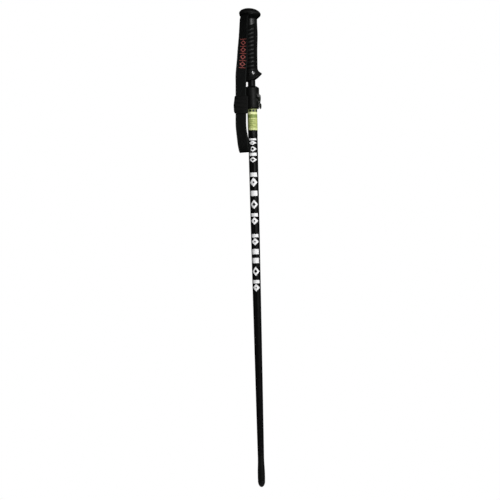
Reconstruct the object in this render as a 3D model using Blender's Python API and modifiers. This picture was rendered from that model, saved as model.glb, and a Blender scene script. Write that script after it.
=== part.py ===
"""Telescoping hand stick with a ski-pole grip, a wrist strap and a lever clamp.

Frame: the nose's flat end is the origin, +Z runs up the stick to the pommel, and +X is the side of the
grip's forward lip and of the clamp lever. Lengths are in metres.
"""

import math

import bmesh
import bpy
from mathutils import Matrix, Vector

MM = 0.001
GAP = 0.3 * MM

# Overall
TOTAL_HEIGHT = 914.4 * MM
SEGMENTS = 32

# Head and pommel
HEAD_TOP = 904.2 * MM
CAP_RADIUS = 20.7 * MM
CAP_BOTTOM = HEAD_TOP + GAP
CAP_RIM_HEIGHT = 0.7 * MM
CAP_EDGE = 0.5 * MM
CAP_WALL = 2.2 * MM
SPIGOT_RADIUS = 4.3 * MM
SPIGOT_END = 893.0 * MM

# The head and the pommel drop towards the forward side
HEAD_DROP = 1.75 * MM
HEAD_SLOPE = 0.0845
SLOPE_LOW = 892.0 * MM
SLOPE_FULL = 900.0 * MM

# Grip
GRIP_TOP_RADIUS = 13.4 * MM
GRIP_LOW_RADIUS = 12.2 * MM
GRIP_NECK_Z = 891.0 * MM
GRIP_FLARE_Z = 806.0 * MM
PALM_SWELL = 1.2 * MM
FRONT_SWELL = 0.9 * MM
RIM_RADIUS = 15.2 * MM
RIM_Z = 774.9 * MM
LIP_REACH = 4.8 * MM
LIP_RISE = 13.1 * MM
LIP_THICKNESS = 2.0 * MM
BORE_TOP = 891.0 * MM

# Ribbed sleeve let into the grip
SLEEVE_THICKNESS = 1.8 * MM
SLEEVE_LOW = 797.9 * MM
SLEEVE_HIGH = 879.9 * MM
SLEEVE_EDGE_DEG = 48.0
RIB_COUNT = 10
RIB_PITCH = 7.65 * MM
RIB_LOWEST = 803.0 * MM
RIB_HEIGHT = 0.7 * MM
RIB_SLOPE_HIGH = 0.36
RIB_SLOPE_LOW = 0.12

# Strap anchor in the head
STRAP_AZIMUTH_DEG = 228.0
PIN_OFFSET = 12.0 * MM
PIN_Z = 901.4 * MM
PIN_RADIUS = 1.5 * MM
PIN_HALF_LENGTH = 12.3 * MM

# Wrist strap
STRAP_WIDTH = 20.3 * MM
STRAP_THICKNESS = 1.3 * MM
LAYER_STEP = STRAP_THICKNESS + GAP
SEAM_LOW = 800.0 * MM
SEAM_HIGH = 835.0 * MM
LOOP_START = 688.0 * MM
LOOP_WIDEST = 653.0 * MM
LOOP_HALF_WIDTH = 7.4 * MM
STRAP_BOTTOM = 637.6 * MM

# Strap slide
SLIDER_LOW = 712.0 * MM
SLIDER_HIGH = 745.2 * MM
SLIDER_PLATE = 1.9 * MM
SLIDER_CLEARANCE = 0.4 * MM
SLIDER_X = -21.35 * MM
SLIDER_Y = -17.5 * MM
SLIDER_LEAN = 0.0232

# Tubes
TUBE_RADIUS = 7.25 * MM
TUBE_WALL = 0.9 * MM
TUBE_TOP = BORE_TOP - 0.5 * MM
TUBE_BOTTOM = 478.0 * MM
SHAFT_RADIUS = 8.95 * MM
SHAFT_TIP_RADIUS = 6.1 * MM
SHAFT_WALL = 0.75 * MM
SHAFT_TOP = 756.8 * MM
SHAFT_TAPER_TOP = 700.0 * MM
SHAFT_BOTTOM = 59.5 * MM
SHAFT_TAPER_POWER = 1.5
SHAFT_SLIT_WIDTH = 1.6 * MM
SHAFT_SLIT_DEPTH = 26.0 * MM

# Split bush between the shaft's top and the upper tube
BUSH_FLANGE = 1.2 * MM
BUSH_LENGTH = 28.0 * MM
BUSH_BORE_RADIUS = TUBE_RADIUS + 0.25 * MM
BUSH_RADIUS = SHAFT_RADIUS - SHAFT_WALL - 0.25 * MM
BUSH_SLIT_WIDTH = 1.2 * MM

# Length lock
COLLAR_BOTTOM = 722.4 * MM
COLLAR_TOP = 765.4 * MM
COLLAR_RADIUS = 14.0 * MM
COLLAR_SPLIT = 1.6 * MM
PIVOT_X = 11.6 * MM
PIVOT_Z = 746.0 * MM
EAR_RADIUS = 3.4 * MM
EAR_HALF_WIDTH = 6.2 * MM
ARM_THICKNESS = 2.4 * MM
BOLT_RADIUS = 1.5 * MM
BOLT_HEAD_RADIUS = 2.8 * MM
BOLT_HEAD_HEIGHT = 2.0 * MM
WASHER_RADIUS = 3.1 * MM
WASHER_THICKNESS = 0.5 * MM
NUT_RADIUS = 3.2 * MM
NUT_HEIGHT = 2.4 * MM

# Label
LABEL_LOW = 680.9 * MM
LABEL_HIGH = 721.6 * MM
LABEL_THICKNESS = 0.35 * MM
LABEL_GAP = 0.15 * MM

# Tip
FERRULE_RADIUS = 7.0 * MM
FERRULE_BOTTOM = 12.3 * MM
FERRULE_TOP = SHAFT_BOTTOM - GAP
FERRULE_SPIGOT = 22.0 * MM
NOSE_RADIUS = 6.9 * MM
NOSE_TOP = FERRULE_BOTTOM - GAP
NOSE_FLAT_RADIUS = 1.6 * MM
STUD_RADIUS = 2.0 * MM
STUD_LOW = 5.3 * MM
STUD_HIGH = 29.5 * MM

PARTS = "telescoping_hand_stick"
CUTTERS = "cutters"


# Scene, materials and objects


def clear_scene():
    for item in list(bpy.data.objects):
        bpy.data.objects.remove(item, do_unlink=True)


def make_collection(name):
    group = bpy.data.collections.new(name)
    bpy.context.scene.collection.children.link(group)
    return group


def make_material(name, colour, roughness, metallic=0.0):
    material = bpy.data.materials.new(name)
    material.use_nodes = True
    shader = material.node_tree.nodes["Principled BSDF"]
    shader.inputs["Base Color"].default_value = (*colour, 1.0)
    shader.inputs["Roughness"].default_value = roughness
    shader.inputs["Metallic"].default_value = metallic
    return material


def add_object(name, mesh, group, material=None):
    item = bpy.data.objects.new(name, mesh)
    bpy.data.collections[group].objects.link(item)
    if material:
        mesh.materials.append(material)
    return item


def add_part(name, mesh, material):
    mesh.shade_smooth()
    mesh.set_sharp_from_angle(angle=math.radians(35))
    return add_object(name, mesh, PARTS, material)


def add_cutter(name, mesh):
    item = add_object(name, mesh, CUTTERS)
    item.hide_render = True
    item.display_type = "WIRE"
    return item


def mesh_from(work, name):
    mesh = bpy.data.meshes.new(name)
    work.to_mesh(mesh)
    work.free()
    return mesh


def boolean(item, other, operation="DIFFERENCE"):
    modifier = item.modifiers.new(f"{operation.lower()}_{other.name}", "BOOLEAN")
    modifier.operation = operation
    modifier.solver = "EXACT"
    modifier.object = other


# Shapes


def box_mesh(name, low, high):
    """A box between two corners."""
    work = bmesh.new()
    size = Vector(high) - Vector(low)
    middle = (Vector(high) + Vector(low)) / 2
    place = Matrix.Translation(middle) @ Matrix.Diagonal((*size, 1.0))
    bmesh.ops.create_cube(work, size=1.0, matrix=place)
    return mesh_from(work, name)


def cylinder_mesh(name, radius, length, segments=24):
    """A closed cylinder along Z, centred on the origin."""
    work = bmesh.new()
    bmesh.ops.create_cone(
        work, cap_ends=True, segments=segments, radius1=radius, radius2=radius, depth=length
    )
    return mesh_from(work, name)


def profile_mesh(name, points, closed):
    """A chain of edges in the XZ plane from (radius, height) points."""
    work = bmesh.new()
    verts = [work.verts.new((radius, 0.0, height)) for radius, height in points]
    for first, second in zip(verts, verts[1:]):
        work.edges.new((first, second))
    if closed:
        work.edges.new((verts[-1], verts[0]))
    return mesh_from(work, name)


def add_screw(item, segments):
    screw = item.modifiers.new("turn", "SCREW")
    screw.axis = "Z"
    screw.angle = 2 * math.pi
    screw.steps = segments
    screw.render_steps = segments
    screw.use_merge_vertices = True
    screw.merge_threshold = 0.01 * MM
    screw.use_smooth_shade = True


def turned(name, points, material, closed=False, segments=SEGMENTS):
    """A turned piece: open profiles start and end on the axis, closed ones leave a bore."""
    item = add_object(name, profile_mesh(name, points, closed), PARTS, material)
    add_screw(item, segments)
    return item


def ring_mesh(name, rings, wrap_rings):
    """Skin between equal rings of points; the last ring meets the first, or both ends are capped.

    A capped ring lists one side and then the other side backwards, so a strip of faces fills it.
    """
    work = bmesh.new()
    rows = [[work.verts.new(point) for point in ring] for ring in rings]
    pairs = list(zip(rows, rows[1:]))
    if wrap_rings:
        pairs.append((rows[-1], rows[0]))
    for upper, lower in pairs:
        for index in range(len(upper)):
            following = (index + 1) % len(upper)
            work.faces.new((upper[index], lower[index], lower[following], upper[following]))
    for row in () if wrap_rings else (rows[0], rows[-1]):
        for index in range(len(row) // 2 - 1):
            work.faces.new((row[index], row[index + 1], row[-2 - index], row[-1 - index]))
    bmesh.ops.recalc_face_normals(work, faces=work.faces)
    return mesh_from(work, name)


def outline_mesh(name, points, thickness):
    """A flat outline in the XZ plane, extruded to both sides of it."""
    curve = bpy.data.curves.new(name, "CURVE")
    curve.dimensions = "2D"
    curve.fill_mode = "BOTH"
    curve.extrude = thickness / 2
    spline = curve.splines.new("POLY")
    spline.points.add(len(points) - 1)
    for target, (x, z) in zip(spline.points, points):
        target.co = (x, z, 0.0, 1.0)
    spline.use_cyclic_u = True
    holder = bpy.data.objects.new(name + "_outline", curve)
    bpy.context.scene.collection.objects.link(holder)
    holder.rotation_euler = (math.radians(90), 0.0, 0.0)
    bpy.context.view_layer.update()
    mesh = bpy.data.meshes.new_from_object(holder.evaluated_get(bpy.context.evaluated_depsgraph_get()))
    mesh.transform(holder.matrix_world)
    bpy.data.objects.remove(holder, do_unlink=True)
    bpy.data.curves.remove(curve)
    work = bmesh.new()
    work.from_mesh(mesh)
    bmesh.ops.remove_doubles(work, verts=work.verts, dist=0.01 * MM)
    bmesh.ops.recalc_face_normals(work, faces=work.faces)
    work.to_mesh(mesh)
    work.free()
    return mesh


def arc(centre, radius, start_deg, end_deg, steps):
    """Points of an arc in a plane."""
    turn = [start_deg + (end_deg - start_deg) * step / steps for step in range(steps + 1)]
    return [
        (
            centre[0] + radius * math.cos(math.radians(angle)),
            centre[1] + radius * math.sin(math.radians(angle)),
        )
        for angle in turn
    ]


def smooth(value):
    """Smooth step from 0 to 1."""
    value = min(max(value, 0.0), 1.0)
    return value * value * (3 - 2 * value)


# Grip


def forward(angle):
    """1 on the forward side (+X), falling quickly to 0 at the back."""
    return ((1 + math.cos(angle)) / 2) ** 3.5


def grip_radius(angle, height):
    """Outer radius of the grip between its neck and its flare, with a slight swell behind and in front."""
    along = min(max((height - GRIP_FLARE_Z) / (GRIP_NECK_Z - GRIP_FLARE_Z), 0.0), 1.0)
    plain = GRIP_LOW_RADIUS + (GRIP_TOP_RADIUS - GRIP_LOW_RADIUS) * along
    back = ((1 - math.cos(angle)) / 2) ** 2
    front = ((1 + math.cos(angle)) / 2) ** 2
    palm = PALM_SWELL * back * math.sin(math.pi * along) ** 2
    knuckle = FRONT_SWELL * front * math.exp(-(((along - 0.68) / 0.22) ** 2))
    return plain + palm + knuckle


def head_drop(x, z):
    """How far the sloping head and pommel are lowered at a point."""
    share = smooth((z - SLOPE_LOW) / (SLOPE_FULL - SLOPE_LOW))
    return share * (HEAD_DROP + HEAD_SLOPE * x)


def dropped(point):
    x, y, z = point
    return (x, y, z - head_drop(x, z))


def ring(radius_at, height_at, angles):
    """One ring of points from a radius and a height that may depend on the angle."""
    points = []
    for angle in angles:
        radius = radius_at(angle)
        points.append((radius * math.cos(angle), radius * math.sin(angle), height_at(angle)))
    return points


def plain_ring(radius, height, angles):
    return ring(lambda angle: radius, lambda angle: height, angles)


def head_rings(angles):
    """Flange of the head and the fillet under it down to the neck; the flange is thinner in front."""
    flange = 20.3 * MM
    rear = [(20.3, 902.3), (18.9, 899.8), (17.6, 898.7), (16.3, 897.9), (14.3, 895.4), (13.5, 892.8)]
    front = [(20.0, 902.8), (18.4, 900.9), (16.9, 899.3), (15.6, 897.7), (14.4, 895.4), (13.7, 892.8)]
    rings = [
        plain_ring(flange - 0.5 * MM, HEAD_TOP, angles),
        plain_ring(flange, HEAD_TOP - 0.5 * MM, angles),
    ]
    for behind, ahead in zip(rear, front):

        def blend(part, angle):
            share = (1 + math.cos(angle)) / 2
            return (behind[part] + (ahead[part] - behind[part]) * share) * MM

        rings.append(ring(lambda angle: blend(0, angle), lambda angle: blend(1, angle), angles))
    return [[dropped(point) for point in points] for points in rings]


def flare_rings(angles):
    """Flare at the lower end of the grip, its rim with the forward lip, and the underside."""

    def rim_z(angle):
        return RIM_Z + LIP_RISE * forward(angle)

    def rim_radius(angle):
        return RIM_RADIUS + LIP_REACH * forward(angle)

    def blend(share):
        def radius_at(angle):
            swollen = share**2 * (rim_radius(angle) - GRIP_LOW_RADIUS)
            return GRIP_LOW_RADIUS + swollen

        def height_at(angle):
            top = rim_z(angle) + LIP_THICKNESS
            return GRIP_FLARE_Z - 4 * MM + share * (top - GRIP_FLARE_Z + 4 * MM)

        return ring(radius_at, height_at, angles)

    rings = [blend(share) for share in (0.0, 0.35, 0.6, 0.8, 0.93)]
    rings.append(ring(rim_radius, lambda angle: rim_z(angle) + 0.6 * LIP_THICKNESS, angles))
    rings.append(ring(lambda angle: rim_radius(angle) - 0.4 * MM, rim_z, angles))
    rings.append(
        ring(
            lambda angle: TUBE_RADIUS + 1.2 * MM,
            lambda angle: RIM_Z + 0.8 * MM + 0.3 * LIP_RISE * forward(angle),
            angles,
        )
    )
    return rings


def make_grip_core(material):
    angles = [2 * math.pi * step / SEGMENTS for step in range(SEGMENTS)]
    rings = head_rings(angles)
    for height in (GRIP_NECK_Z, 876 * MM, 858 * MM, 840 * MM, 822 * MM, GRIP_FLARE_Z):
        rings.append(ring(lambda angle: grip_radius(angle, height), lambda angle: height, angles))
    rings += flare_rings(angles)
    bore = TUBE_RADIUS + GAP
    spigot_hole = SPIGOT_RADIUS + GAP
    rings.append(
        ring(lambda angle: bore, lambda angle: RIM_Z + 1.4 * MM + 0.3 * LIP_RISE * forward(angle), angles)
    )
    rings.append(plain_ring(bore, BORE_TOP, angles))
    rings.append(plain_ring(spigot_hole, BORE_TOP, angles))
    rings.append([dropped(point) for point in plain_ring(spigot_hole, HEAD_TOP, angles)])
    core = add_part("grip_core", ring_mesh("grip_core", rings, wrap_rings=True), material)
    boolean(core, sleeve_recess())
    for cut in anchor_cutters():
        boolean(core, cut)


def sleeve_slope(height):
    """Slope of the ribs, which tilt up towards the front, more so higher up."""
    share = (height - SLEEVE_LOW) / (SLEEVE_HIGH - SLEEVE_LOW)
    return RIB_SLOPE_LOW + (RIB_SLOPE_HIGH - RIB_SLOPE_LOW) * share


def sleeve_point(angle, height, outwards):
    """A point on the sloping sleeve, at a distance outwards from the grip's surface."""
    surface = grip_radius(angle, height)
    radius = surface + outwards
    tilt = sleeve_slope(height) * surface * math.cos(angle)
    return (radius * math.cos(angle), radius * math.sin(angle), height + tilt)


def sleeve_sections(edge_deg, low, high, inner_depth, outer_at, rows, steps):
    """Closed sections, one at each angle, of a C-shaped skin round the palm side of the grip."""
    heights = [low + (high - low) * row / rows for row in range(rows + 1)]
    sections = []
    for step in range(steps + 1):
        angle = math.radians(edge_deg + (360 - 2 * edge_deg) * step / steps)
        outer = [sleeve_point(angle, height, outer_at(angle, height)) for height in heights]
        inner = [sleeve_point(angle, height, -inner_depth) for height in reversed(heights)]
        sections.append(outer + inner)
    return sections


def rib_relief(angle, height):
    """Height of the ribs over the grip's surface; they fade out towards the sleeve's edges."""
    edge = math.radians(SLEEVE_EDGE_DEG)
    from_edge = min(angle - edge, 2 * math.pi - edge - angle)
    fade = smooth(from_edge / math.radians(22))
    phase = 2 * math.pi * (height - RIB_LOWEST) / RIB_PITCH
    inside = RIB_LOWEST - RIB_PITCH / 2 <= height <= RIB_LOWEST + RIB_PITCH * (RIB_COUNT - 0.5)
    wave = 0.5 + 0.5 * math.cos(phase) if inside else 0.0
    return RIB_HEIGHT * fade * wave


def sleeve_recess():
    sections = sleeve_sections(
        SLEEVE_EDGE_DEG - 1.3,
        SLEEVE_LOW - GAP,
        SLEEVE_HIGH + GAP,
        SLEEVE_THICKNESS + GAP,
        lambda angle, height: 3 * MM,
        rows=8,
        steps=25,
    )
    return add_cutter("sleeve_recess", ring_mesh("sleeve_recess", sections, wrap_rings=False))


def make_grip_sleeve(material):
    rows_per_rib = 3
    rows = round((SLEEVE_HIGH - SLEEVE_LOW) / RIB_PITCH * rows_per_rib)
    sections = sleeve_sections(
        SLEEVE_EDGE_DEG, SLEEVE_LOW, SLEEVE_HIGH, SLEEVE_THICKNESS, rib_relief, rows, steps=24
    )
    add_part("grip_sleeve", ring_mesh("grip_sleeve", sections, wrap_rings=False), material)


def sloped_mesh(name, profile):
    """Turned solid that slopes with the head; its profile starts and ends on the axis."""
    work = bmesh.new()
    angles = [2 * math.pi * step / SEGMENTS for step in range(SEGMENTS)]
    rows = []
    for radius, height in profile:
        points = plain_ring(radius, height, angles if radius > 0.0 else angles[:1])
        rows.append([work.verts.new(dropped(point)) for point in points])
    for upper, lower in zip(rows, rows[1:]):
        for index in range(SEGMENTS):
            following = (index + 1) % SEGMENTS
            corners = [
                upper[index % len(upper)],
                lower[index % len(lower)],
                lower[following % len(lower)],
                upper[following % len(upper)],
            ]
            work.faces.new(list(dict.fromkeys(corners)))
    bmesh.ops.recalc_face_normals(work, faces=work.faces)
    return mesh_from(work, name)


def make_pommel_cap(material):
    """Domed shell with a spigot that presses into the head."""
    rim_z = CAP_BOTTOM + CAP_RIM_HEIGHT
    across = HEAD_SLOPE * CAP_RADIUS
    dome = math.sqrt((TOTAL_HEIGHT - rim_z + HEAD_DROP) ** 2 - across**2)
    outer = [(0.0, rim_z + dome)]
    for degrees in (math.degrees(math.atan(across / dome)), 20, 31, 42, 53, 64, 76, 90):
        angle = math.radians(degrees)
        outer.append((CAP_RADIUS * math.sin(angle), rim_z + dome * math.cos(angle)))
    inner = [
        (CAP_RADIUS - CAP_EDGE, CAP_BOTTOM),
        (CAP_RADIUS - CAP_WALL, CAP_BOTTOM),
        (CAP_RADIUS - CAP_WALL, rim_z + 0.6 * MM),
        (14.0 * MM, 909.0 * MM),
        (SPIGOT_RADIUS, rim_z + dome - CAP_WALL - 1.0 * MM),
        (SPIGOT_RADIUS, 903.0 * MM),
        (SPIGOT_RADIUS, SPIGOT_END + 0.8 * MM),
        (SPIGOT_RADIUS - 0.8 * MM, SPIGOT_END),
        (0.0, SPIGOT_END),
    ]
    add_part("pommel_cap", sloped_mesh("pommel_cap", outer + inner), material)


# Strap anchor, strap and slide


def anchor_matrix(offset, height):
    """Local X points out of the head at the strap, local Y along the pin, local Z up."""
    return (
        Matrix.Rotation(math.radians(STRAP_AZIMUTH_DEG), 4, "Z") @ Matrix.Translation((offset, 0.0, height))
    )


def anchor_cutters():
    """Pocket for the strap's eye with the way out under the flange, and the slot that the pin lies in."""
    half = STRAP_WIDTH / 2 + 0.6 * MM
    reach = 26 * MM
    above = HEAD_TOP + 2 * MM
    pocket_in, pocket_out, pocket_low = 8.2 * MM, 15.9 * MM, 897.5 * MM
    exit_in, exit_low, exit_high = 11.2 * MM, 889.5 * MM, 902.1 * MM
    outline = [
        (pocket_in, pocket_low),
        (exit_in, pocket_low),
        (exit_in, exit_low),
        (reach, exit_low),
        (reach, exit_high),
        (pocket_out, exit_high),
        (pocket_out, above),
        (pocket_in, above),
    ]
    slot = PIN_RADIUS + GAP
    low = (PIN_OFFSET - slot, -PIN_HALF_LENGTH - GAP, PIN_Z - slot)
    high = (PIN_OFFSET + slot, PIN_HALF_LENGTH + GAP, above + 1 * MM)
    cutters = [
        add_cutter("strap_pocket", outline_mesh("strap_pocket", outline, 2 * half)),
        add_cutter("pin_slot", box_mesh("pin_slot", low, high)),
    ]
    for cutter in cutters:
        cutter.matrix_world = anchor_matrix(0.0, 0.0)
    return cutters


def make_strap_pin(material):
    pin = add_part("strap_pin", cylinder_mesh("strap_pin", PIN_RADIUS, 2 * PIN_HALF_LENGTH, 20), material)
    pin.matrix_world = anchor_matrix(PIN_OFFSET, PIN_Z) @ Matrix.Rotation(math.radians(90), 4, "X")


def strap_stations():
    """Middle line of the doubled strap from the pin to its fold: position and facing azimuth."""
    azimuth = math.radians(STRAP_AZIMUTH_DEG)
    out = Vector((math.cos(azimuth), math.sin(azimuth), 0.0))
    stations = []
    for radius, height in ((12.0, 901.4), (14.5, 897.8), (16.5, 894.2), (17.4, 889.0)):
        stations.append((out * (radius * MM) + Vector((0.0, 0.0, height * MM)), STRAP_AZIMUTH_DEG))
    round_the_grip = [
        (-13.6, -14.6, 857.0, 236.0),
        (-15.3, -15.8, 833.0, 252.0),
        (-16.6, -16.8, 816.0, 264.0),
        (-18.8, -17.4, 797.0, 270.0),
    ]
    hand_loop = [
        (-20.7, -18.2, 672.0, 266.0),
        (-17.7, -19.1, 653.0, 257.0),
        (-16.3, -19.3, 645.0, 253.0),
        (-15.9, -19.3, 636.5, 250.0),
    ]
    stations += [(Vector(place) * MM, facing) for *place, facing in round_the_grip]
    for z in (785.0, 770.0, 740.0, 710.0, 690.0):
        x = SLIDER_X + SLIDER_LEAN * (z * MM - (SLIDER_LOW + SLIDER_HIGH) / 2)
        stations.append((Vector((x, SLIDER_Y, z * MM)), 270.0))
    stations += [(Vector(place) * MM, facing) for *place, facing in hand_loop]
    return stations


def catmull_rom(first, second, third, fourth, share):
    """A point of the smooth curve between the second and the third value."""
    return 0.5 * (
        2 * second
        + (third - first) * share
        + (2 * first - 5 * second + 4 * third - fourth) * share**2
        + (3 * second - first - 3 * third + fourth) * share**3
    )


def strap_frames():
    """Closely spaced frames down the strap: height, position, width direction and outward normal."""
    stations = strap_stations()
    padded = [stations[0], *stations, stations[-1]]
    frames = []
    for index in range(len(stations) - 1):
        window = padded[index : index + 4]
        for step in range(12):
            share = step / 12
            position = catmull_rom(*(item[0] for item in window), share)
            azimuth = math.radians(catmull_rom(*(item[1] for item in window), share))
            frames.append((position, azimuth))
    frames.append((stations[-1][0], math.radians(stations[-1][1])))
    result = []
    for index, (position, azimuth) in enumerate(frames):
        ahead = frames[min(index + 1, len(frames) - 1)][0]
        behind = frames[max(index - 1, 0)][0]
        tangent = (ahead - behind).normalized()
        flat_out = Vector((math.cos(azimuth), math.sin(azimuth), 0.0))
        width = flat_out.cross(tangent).normalized()
        normal = tangent.cross(width).normalized()
        result.append((position, width, normal))
    return result


def frame_at(frames, distance):
    """The frame at a distance down the middle line."""
    travelled = 0.0
    for first, second in zip(frames, frames[1:]):
        step = (second[0] - first[0]).length
        if travelled + step >= distance:
            share = (distance - travelled) / step
            return tuple(first[part].lerp(second[part], share) for part in range(3))
        travelled += step
    return frames[-1]


def distance_to_height(frames, height):
    """Distance down the middle line at which it reaches a height."""
    travelled = 0.0
    for first, second in zip(frames, frames[1:]):
        if second[0].z <= height:
            share = (first[0].z - height) / (first[0].z - second[0].z)
            return travelled + share * (second[0] - first[0]).length
        travelled += (second[0] - first[0]).length
    return travelled


def loop_spread(frames, distance):
    """Half the distance between the two legs where the hand loop opens."""
    start = distance_to_height(frames, LOOP_START)
    widest = distance_to_height(frames, LOOP_WIDEST)
    return (LOOP_HALF_WIDTH - LAYER_STEP / 2) * smooth((distance - start) / (widest - start))


def strap_route(frames):
    """(distance, offset) points of the webbing: up one leg, round the pin and down the other."""
    eye = PIN_RADIUS + GAP + STRAP_THICKNESS / 2
    half = LAYER_STEP / 2
    seam_low = distance_to_height(frames, SEAM_LOW)
    seam_high = distance_to_height(frames, SEAM_HIGH)
    widest = distance_to_height(frames, LOOP_WIDEST)
    fold = distance_to_height(frames, STRAP_BOTTOM + STRAP_THICKNESS / 2)
    upper = [seam_low, seam_low - 12 * MM, seam_low - 24 * MM, seam_high - 8 * MM]
    step = 14 * MM
    while upper[-1] > 22 * MM:
        upper.append(upper[-1] - step)
    neck = [(6.6 * MM, half), (4.3 * MM, 1.05 * MM), (2.5 * MM, 1.62 * MM)]
    route = [(distance, -half) for distance in upper if distance > 14 * MM]
    route += [(distance, -offset) for distance, offset in [(12 * MM, half), (9 * MM, half), *neck]]
    for turn in range(-115, 116, 23):
        angle = math.radians(turn)
        route.append((-eye * math.cos(angle), eye * math.sin(angle)))
    route += [(distance, offset) for distance, offset in [*reversed(neck), (9 * MM, half), (12 * MM, half)]]
    distance = 16 * MM
    while distance < widest:
        route.append((distance, half + loop_spread(frames, distance)))
        distance += 7 * MM
    for turn in range(0, 181, 15):
        angle = math.radians(turn)
        route.append((widest + (fold - widest) * math.sin(angle), LOOP_HALF_WIDTH * math.cos(angle)))
    distance = widest - 7 * MM
    while distance > seam_low + 12 * MM:
        route.append((distance, -half - loop_spread(frames, distance)))
        distance -= 7 * MM
    route.append((seam_low + 7 * MM, -half - 0.25 * LAYER_STEP))
    route.append((seam_low + 3 * MM, -half - 0.8 * LAYER_STEP))
    route.append((seam_low - 1 * MM, -half - LAYER_STEP))
    route.append((seam_low - 12 * MM, -half - LAYER_STEP))
    route.append((seam_high, -half - LAYER_STEP))
    return route


def strap_point(frames, distance, offset):
    """Position and width direction of a point given by distance and offset, straight on above the pin."""
    position, width, normal = frame_at(frames, max(distance, 0.0))
    if distance < 0.0:
        tangent = (frames[1][0] - frames[0][0]).normalized()
        position = position + tangent * distance
    return position + normal * offset, width


def make_wrist_strap(material):
    frames = strap_frames()
    line = [strap_point(frames, distance, offset) for distance, offset in strap_route(frames)]
    sections = []
    for index, (position, width) in enumerate(line):
        ahead = line[min(index + 1, len(line) - 1)][0]
        behind = line[max(index - 1, 0)][0]
        tangent = (ahead - behind).normalized()
        across = (width - tangent * width.dot(tangent)).normalized()
        normal = across.cross(tangent)
        side = across * (STRAP_WIDTH / 2)
        up = normal * (STRAP_THICKNESS / 2)
        corners = [position + side + up, position - side + up, position - side - up, position + side - up]
        sections.append([tuple(corner) for corner in corners])
    add_part("wrist_strap", ring_mesh("wrist_strap", sections, wrap_rings=False), material)


def slider_outline(half_height):
    """Front view of the slide in (x, z): its outer side slopes out and its lower corners are rounder."""
    right, left_high, left_middle, left_low = 13.6 * MM, -11.7 * MM, -14.0 * MM, -13.0 * MM
    small, medium, large = 2.0 * MM, 4.0 * MM, 6.0 * MM
    points = arc((right - small, half_height - small), small, 0, 90, 4)
    points += arc((left_high + small, half_height - small), small, 90, 180, 4)
    points.append((left_middle, -1.5 * MM))
    points += arc((left_low + large, -half_height + large), large, 180, 270, 5)
    points += arc((right - medium, -half_height + medium), medium, 270, 360, 5)
    return points


def make_strap_slider(material):
    """Moulded slide: a flat sleeve with thumb bars, which both legs of the strap pass through."""
    height = SLIDER_HIGH - SLIDER_LOW
    passage = 2 * STRAP_THICKNESS + GAP + 2 * SLIDER_CLEARANCE
    depth = passage + 2 * SLIDER_PLATE
    mesh = outline_mesh("strap_slider", slider_outline(height / 2), depth)
    slider = add_part("strap_slider", mesh, material)
    lean = Matrix.Rotation(math.atan(SLIDER_LEAN), 4, "Y")
    place = Matrix.Translation((SLIDER_X, SLIDER_Y, (SLIDER_LOW + SLIDER_HIGH) / 2)) @ lean
    slider.matrix_world = place
    half = STRAP_WIDTH / 2 + SLIDER_CLEARANCE
    low = (-half, -passage / 2, -height)
    high = (half, passage / 2, height)
    passage_cutter = add_cutter("slider_passage", box_mesh("slider_passage", low, high))
    passage_cutter.matrix_world = place
    boolean(slider, passage_cutter)
    for number, centre in enumerate((11.0 * MM, 3.5 * MM, -4.0 * MM, -11.5 * MM)):
        name = f"thumb_bar_{number + 1}"
        low = (-10.0 * MM, -depth / 2 - 0.8 * MM, centre - 1.1 * MM)
        high = (11.0 * MM, -depth / 2 + 0.4 * MM, centre + 1.1 * MM)
        bar = add_cutter(name, box_mesh(name, low, high))
        bar.matrix_world = place
        boolean(slider, bar, "UNION")


# Tubes


def shaft_radius(height):
    """Outer radius of the lower shaft, which is straight at the top and tapers faster towards the tip."""
    share = (height - SHAFT_BOTTOM) / (SHAFT_TAPER_TOP - SHAFT_BOTTOM)
    share = min(max(share, 0.0), 1.0)
    rise = 1 - (1 - share) ** SHAFT_TAPER_POWER
    return SHAFT_TIP_RADIUS + (SHAFT_RADIUS - SHAFT_TIP_RADIUS) * rise


def tube_profile(heights, radius_at, wall):
    """Closed profile of a tube: down the outside and back up the inside."""
    outside = [(radius_at(height), height) for height in heights]
    inside = [(radius_at(height) - wall, height) for height in reversed(heights)]
    return outside + inside


def make_upper_tube(material):
    points = tube_profile((TUBE_TOP, TUBE_BOTTOM), lambda height: TUBE_RADIUS, TUBE_WALL)
    turned("upper_tube", points, material, closed=True)


def make_tube_end_plug(material):
    """Plug with a flange that closes the lower end of the upper tube."""
    spigot = TUBE_RADIUS - TUBE_WALL - GAP
    flange_top = TUBE_BOTTOM - GAP
    points = [
        (0.0, flange_top + 14 * MM),
        (spigot - 0.5 * MM, flange_top + 14 * MM),
        (spigot, flange_top + 13.5 * MM),
        (spigot, flange_top),
        (TUBE_RADIUS, flange_top),
        (TUBE_RADIUS, flange_top - 3 * MM),
        (TUBE_RADIUS - 1 * MM, flange_top - 4 * MM),
        (0.0, flange_top - 4 * MM),
    ]
    turned("tube_end_plug", points, material)


def make_lower_shaft(material):
    count = 8
    heights = [SHAFT_TOP]
    heights += [
        SHAFT_TAPER_TOP + (SHAFT_BOTTOM - SHAFT_TAPER_TOP) * step / count for step in range(count + 1)
    ]
    shaft = turned("lower_shaft", tube_profile(heights, shaft_radius, SHAFT_WALL), material, closed=True)
    half = SHAFT_SLIT_WIDTH / 2
    low_z = SHAFT_TOP - SHAFT_SLIT_DEPTH
    reach = 2 * SHAFT_RADIUS
    slits = {
        "shaft_slit_x": ((-reach, -half, low_z), (reach, half, SHAFT_TOP + reach)),
        "shaft_slit_y": ((-half, -reach, low_z), (half, reach, SHAFT_TOP + reach)),
    }
    for name, (low, high) in slits.items():
        boolean(shaft, add_cutter(name, box_mesh(name, low, high)))


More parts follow.
